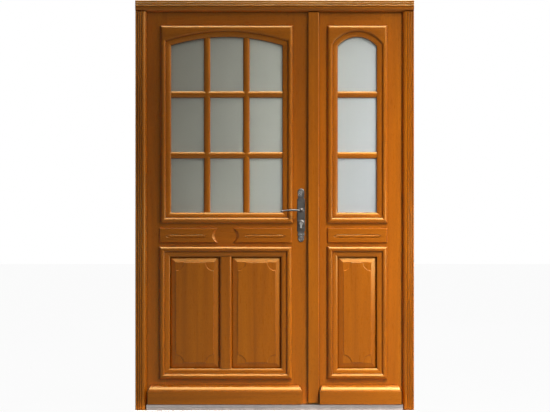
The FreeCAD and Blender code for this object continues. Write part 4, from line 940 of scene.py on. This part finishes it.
class MakeStage(bpy.types.Operator):
    """Pale floor, soft studio light and the camera of the photograph"""

    bl_idname = "door.make_stage"
    bl_label = "Stage and camera"

    def execute(self, context):
        scene = context.scene
        scene.view_settings.view_transform = "Standard"
        reach = 14.0
        mesh = bpy.data.meshes.new("floor")
        mesh.from_pydata([(-reach, -reach, 0), (reach, -reach, 0), (reach, reach, 0),
                          (-reach, reach, 0)], [], [(0, 1, 2, 3)])
        material, tree, place = new_material("white_studio_floor")
        dust = add(tree, "TexNoise", {"Vector": place, "Scale": 2.0})
        tone = add(tree, "ValToRGB", {"Fac": dust.outputs[0]},
                   stops=((0.3, linear("#808080")), (0.7, linear("#8a8a8a"))))
        paint = add(tree, "BsdfDiffuse", {"Color": tone.outputs[0]})
        glow = add(tree, "Emission", {"Strength": 1.0})
        rays = add(tree, "LightPath")
        seen = add(tree, "Math", {0: rays.outputs["Is Camera Ray"],
                                  1: rays.outputs["Is Glossy Ray"]}, operation="MAXIMUM")
        seen = add(tree, "Math", {0: seen.outputs[0], 1: rays.outputs["Is Transmission Ray"]},
                   operation="MAXIMUM")
        share = add(tree, "Math", {0: seen.outputs[0], 1: 0.96}, operation="MULTIPLY")
        mixed = add(tree, "MixShader", {0: share.outputs[0], 1: paint.outputs[0],
                                        2: glow.outputs[0]})
        add(tree, "OutputMaterial", {"Surface": mixed.outputs[0]})
        mesh.materials.append(material)
        floor = bpy.data.objects.new("floor", mesh)
        scene.collection.objects.link(floor)

        world = bpy.data.worlds.new("studio")
        scene.world = world
        world.use_nodes = True
        tree = world.node_tree
        tree.nodes.clear()
        rays = add(tree, "LightPath")
        seen = add(tree, "Math", {0: rays.outputs["Is Camera Ray"],
                                  1: rays.outputs["Is Transmission Ray"]}, operation="MAXIMUM")
        level = add(tree, "MapRange", {"Value": seen.outputs[0], "To Min": 0.03, "To Max": 1.0})
        # Gloss mirrors a dim room with one wide soft box above and to the right
        toward = add(tree, "VectorMath", {0: add(tree, "TexCoord").outputs["Generated"],
                                          1: (0.45, -0.25, 0.86)}, operation="DOT_PRODUCT")
        soft_box = add(tree, "MapRange", {"Value": toward.outputs["Value"], "From Min": 0.62,
                                          "From Max": 0.93, "To Min": 0.5, "To Max": 20.0})
        level = add(tree, "Mix", {"Factor": rays.outputs["Is Glossy Ray"],
                                  "A": level.outputs[0], "B": soft_box.outputs[0]})
        sky = add(tree, "Background", {"Color": (1, 1, 1, 1), "Strength": level.outputs[0]})
        add(tree, "OutputWorld", {"Surface": sky.outputs[0]})

        for name, spot, aim, size, power in (
                ("key", (1.9, -2.3, 3.75), (0.95, 0, 0.0), (0.7, 0.7), 22),
                ("side", (1.7, -1.3, 0.9), (0.1, 0, 0.8), (0.5, 0.5), 12),
                ("top", (1.0, -0.6, 3.3), (0.5, 0, 1.6), (2.4, 0.2), 15),
                ("left", (-2.8, 1.2, 1.8), (0, 0, 1.0), (1.6, 1.6), 45),
                ("back", (0.8, 4.0, 2.4), (0, 0, 1.0), (2.5, 2.5), 80)):
            lamp = bpy.data.lights.new(name, "AREA")
            lamp.energy = power
            lamp.shape = "RECTANGLE"
            lamp.size, lamp.size_y = size
            lamp.spread = math.radians(54 if name == "key" else 180)
            holder = bpy.data.objects.new(name, lamp)
            scene.collection.objects.link(holder)
            holder.location = spot
            direction = Vector(aim) - Vector(spot)
            holder.rotation_euler = direction.to_track_quat("-Z", "Y").to_euler()

        # The frame's front face fills the picture's height of 2.2 m, seen square on
        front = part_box("frame_head")[0][1]
        distance = 5.5
        camera = bpy.data.cameras.new("camera")
        camera.sensor_width = 36
        camera.lens = 36 * distance / (2.2 * 550 / 412)
        holder = bpy.data.objects.new("camera", camera)
        scene.collection.objects.link(holder)
        holder.location = (0.002, front - distance, 1.1)
        holder.rotation_euler = (math.pi / 2, 0, 0)
        scene.camera = holder
        return {"FINISHED"}


class DoorPanel(bpy.types.Panel):
    """Sizes, colours and pieces of the door"""

    bl_idname = "VIEW3D_PT_door"
    bl_label = "Front door"
    bl_space_type = "VIEW_3D"
    bl_region_type = "UI"
    bl_category = "Door"

    def draw(self, context):
        for group in (context.scene.door_sizes, context.scene.door_colours):
            for name in group.bl_rna.properties.keys():
                if name not in ("rna_type", "name"):
                    self.layout.prop(group, name)
        for operator in OPERATORS:
            self.layout.operator(operator.bl_idname)


OPERATORS = (FinishNodes, MakeFrame, MakeMouldings, MakePanels, MakeFriezes, MakeBars, MakeLevers, MakePlates, MakeSeals,
             MakeScrews, MakeStage)
CLASSES = (DoorSizes, DoorColours, *OPERATORS, DoorPanel)


def register():
    for kind in CLASSES:
        bpy.utils.register_class(kind)
    bpy.types.Scene.door_sizes = bpy.props.PointerProperty(type=DoorSizes)
    bpy.types.Scene.door_colours = bpy.props.PointerProperty(type=DoorColours)


def unregister():
    del bpy.types.Scene.door_colours
    del bpy.types.Scene.door_sizes
    for kind in reversed(CLASSES):
        bpy.utils.unregister_class(kind)


def main():
    register()
    bpy.ops.door.finish_nodes()
    bpy.ops.door.make_frame()
    bpy.ops.door.make_mouldings()
    bpy.ops.door.make_panels()
    bpy.ops.door.make_friezes()
    bpy.ops.door.make_bars()
    bpy.ops.door.make_levers()
    bpy.ops.door.make_plates()
    bpy.ops.door.make_seals()
    bpy.ops.door.make_screws()
    bpy.ops.door.make_stage()


if __name__ == "__main__":
    main()
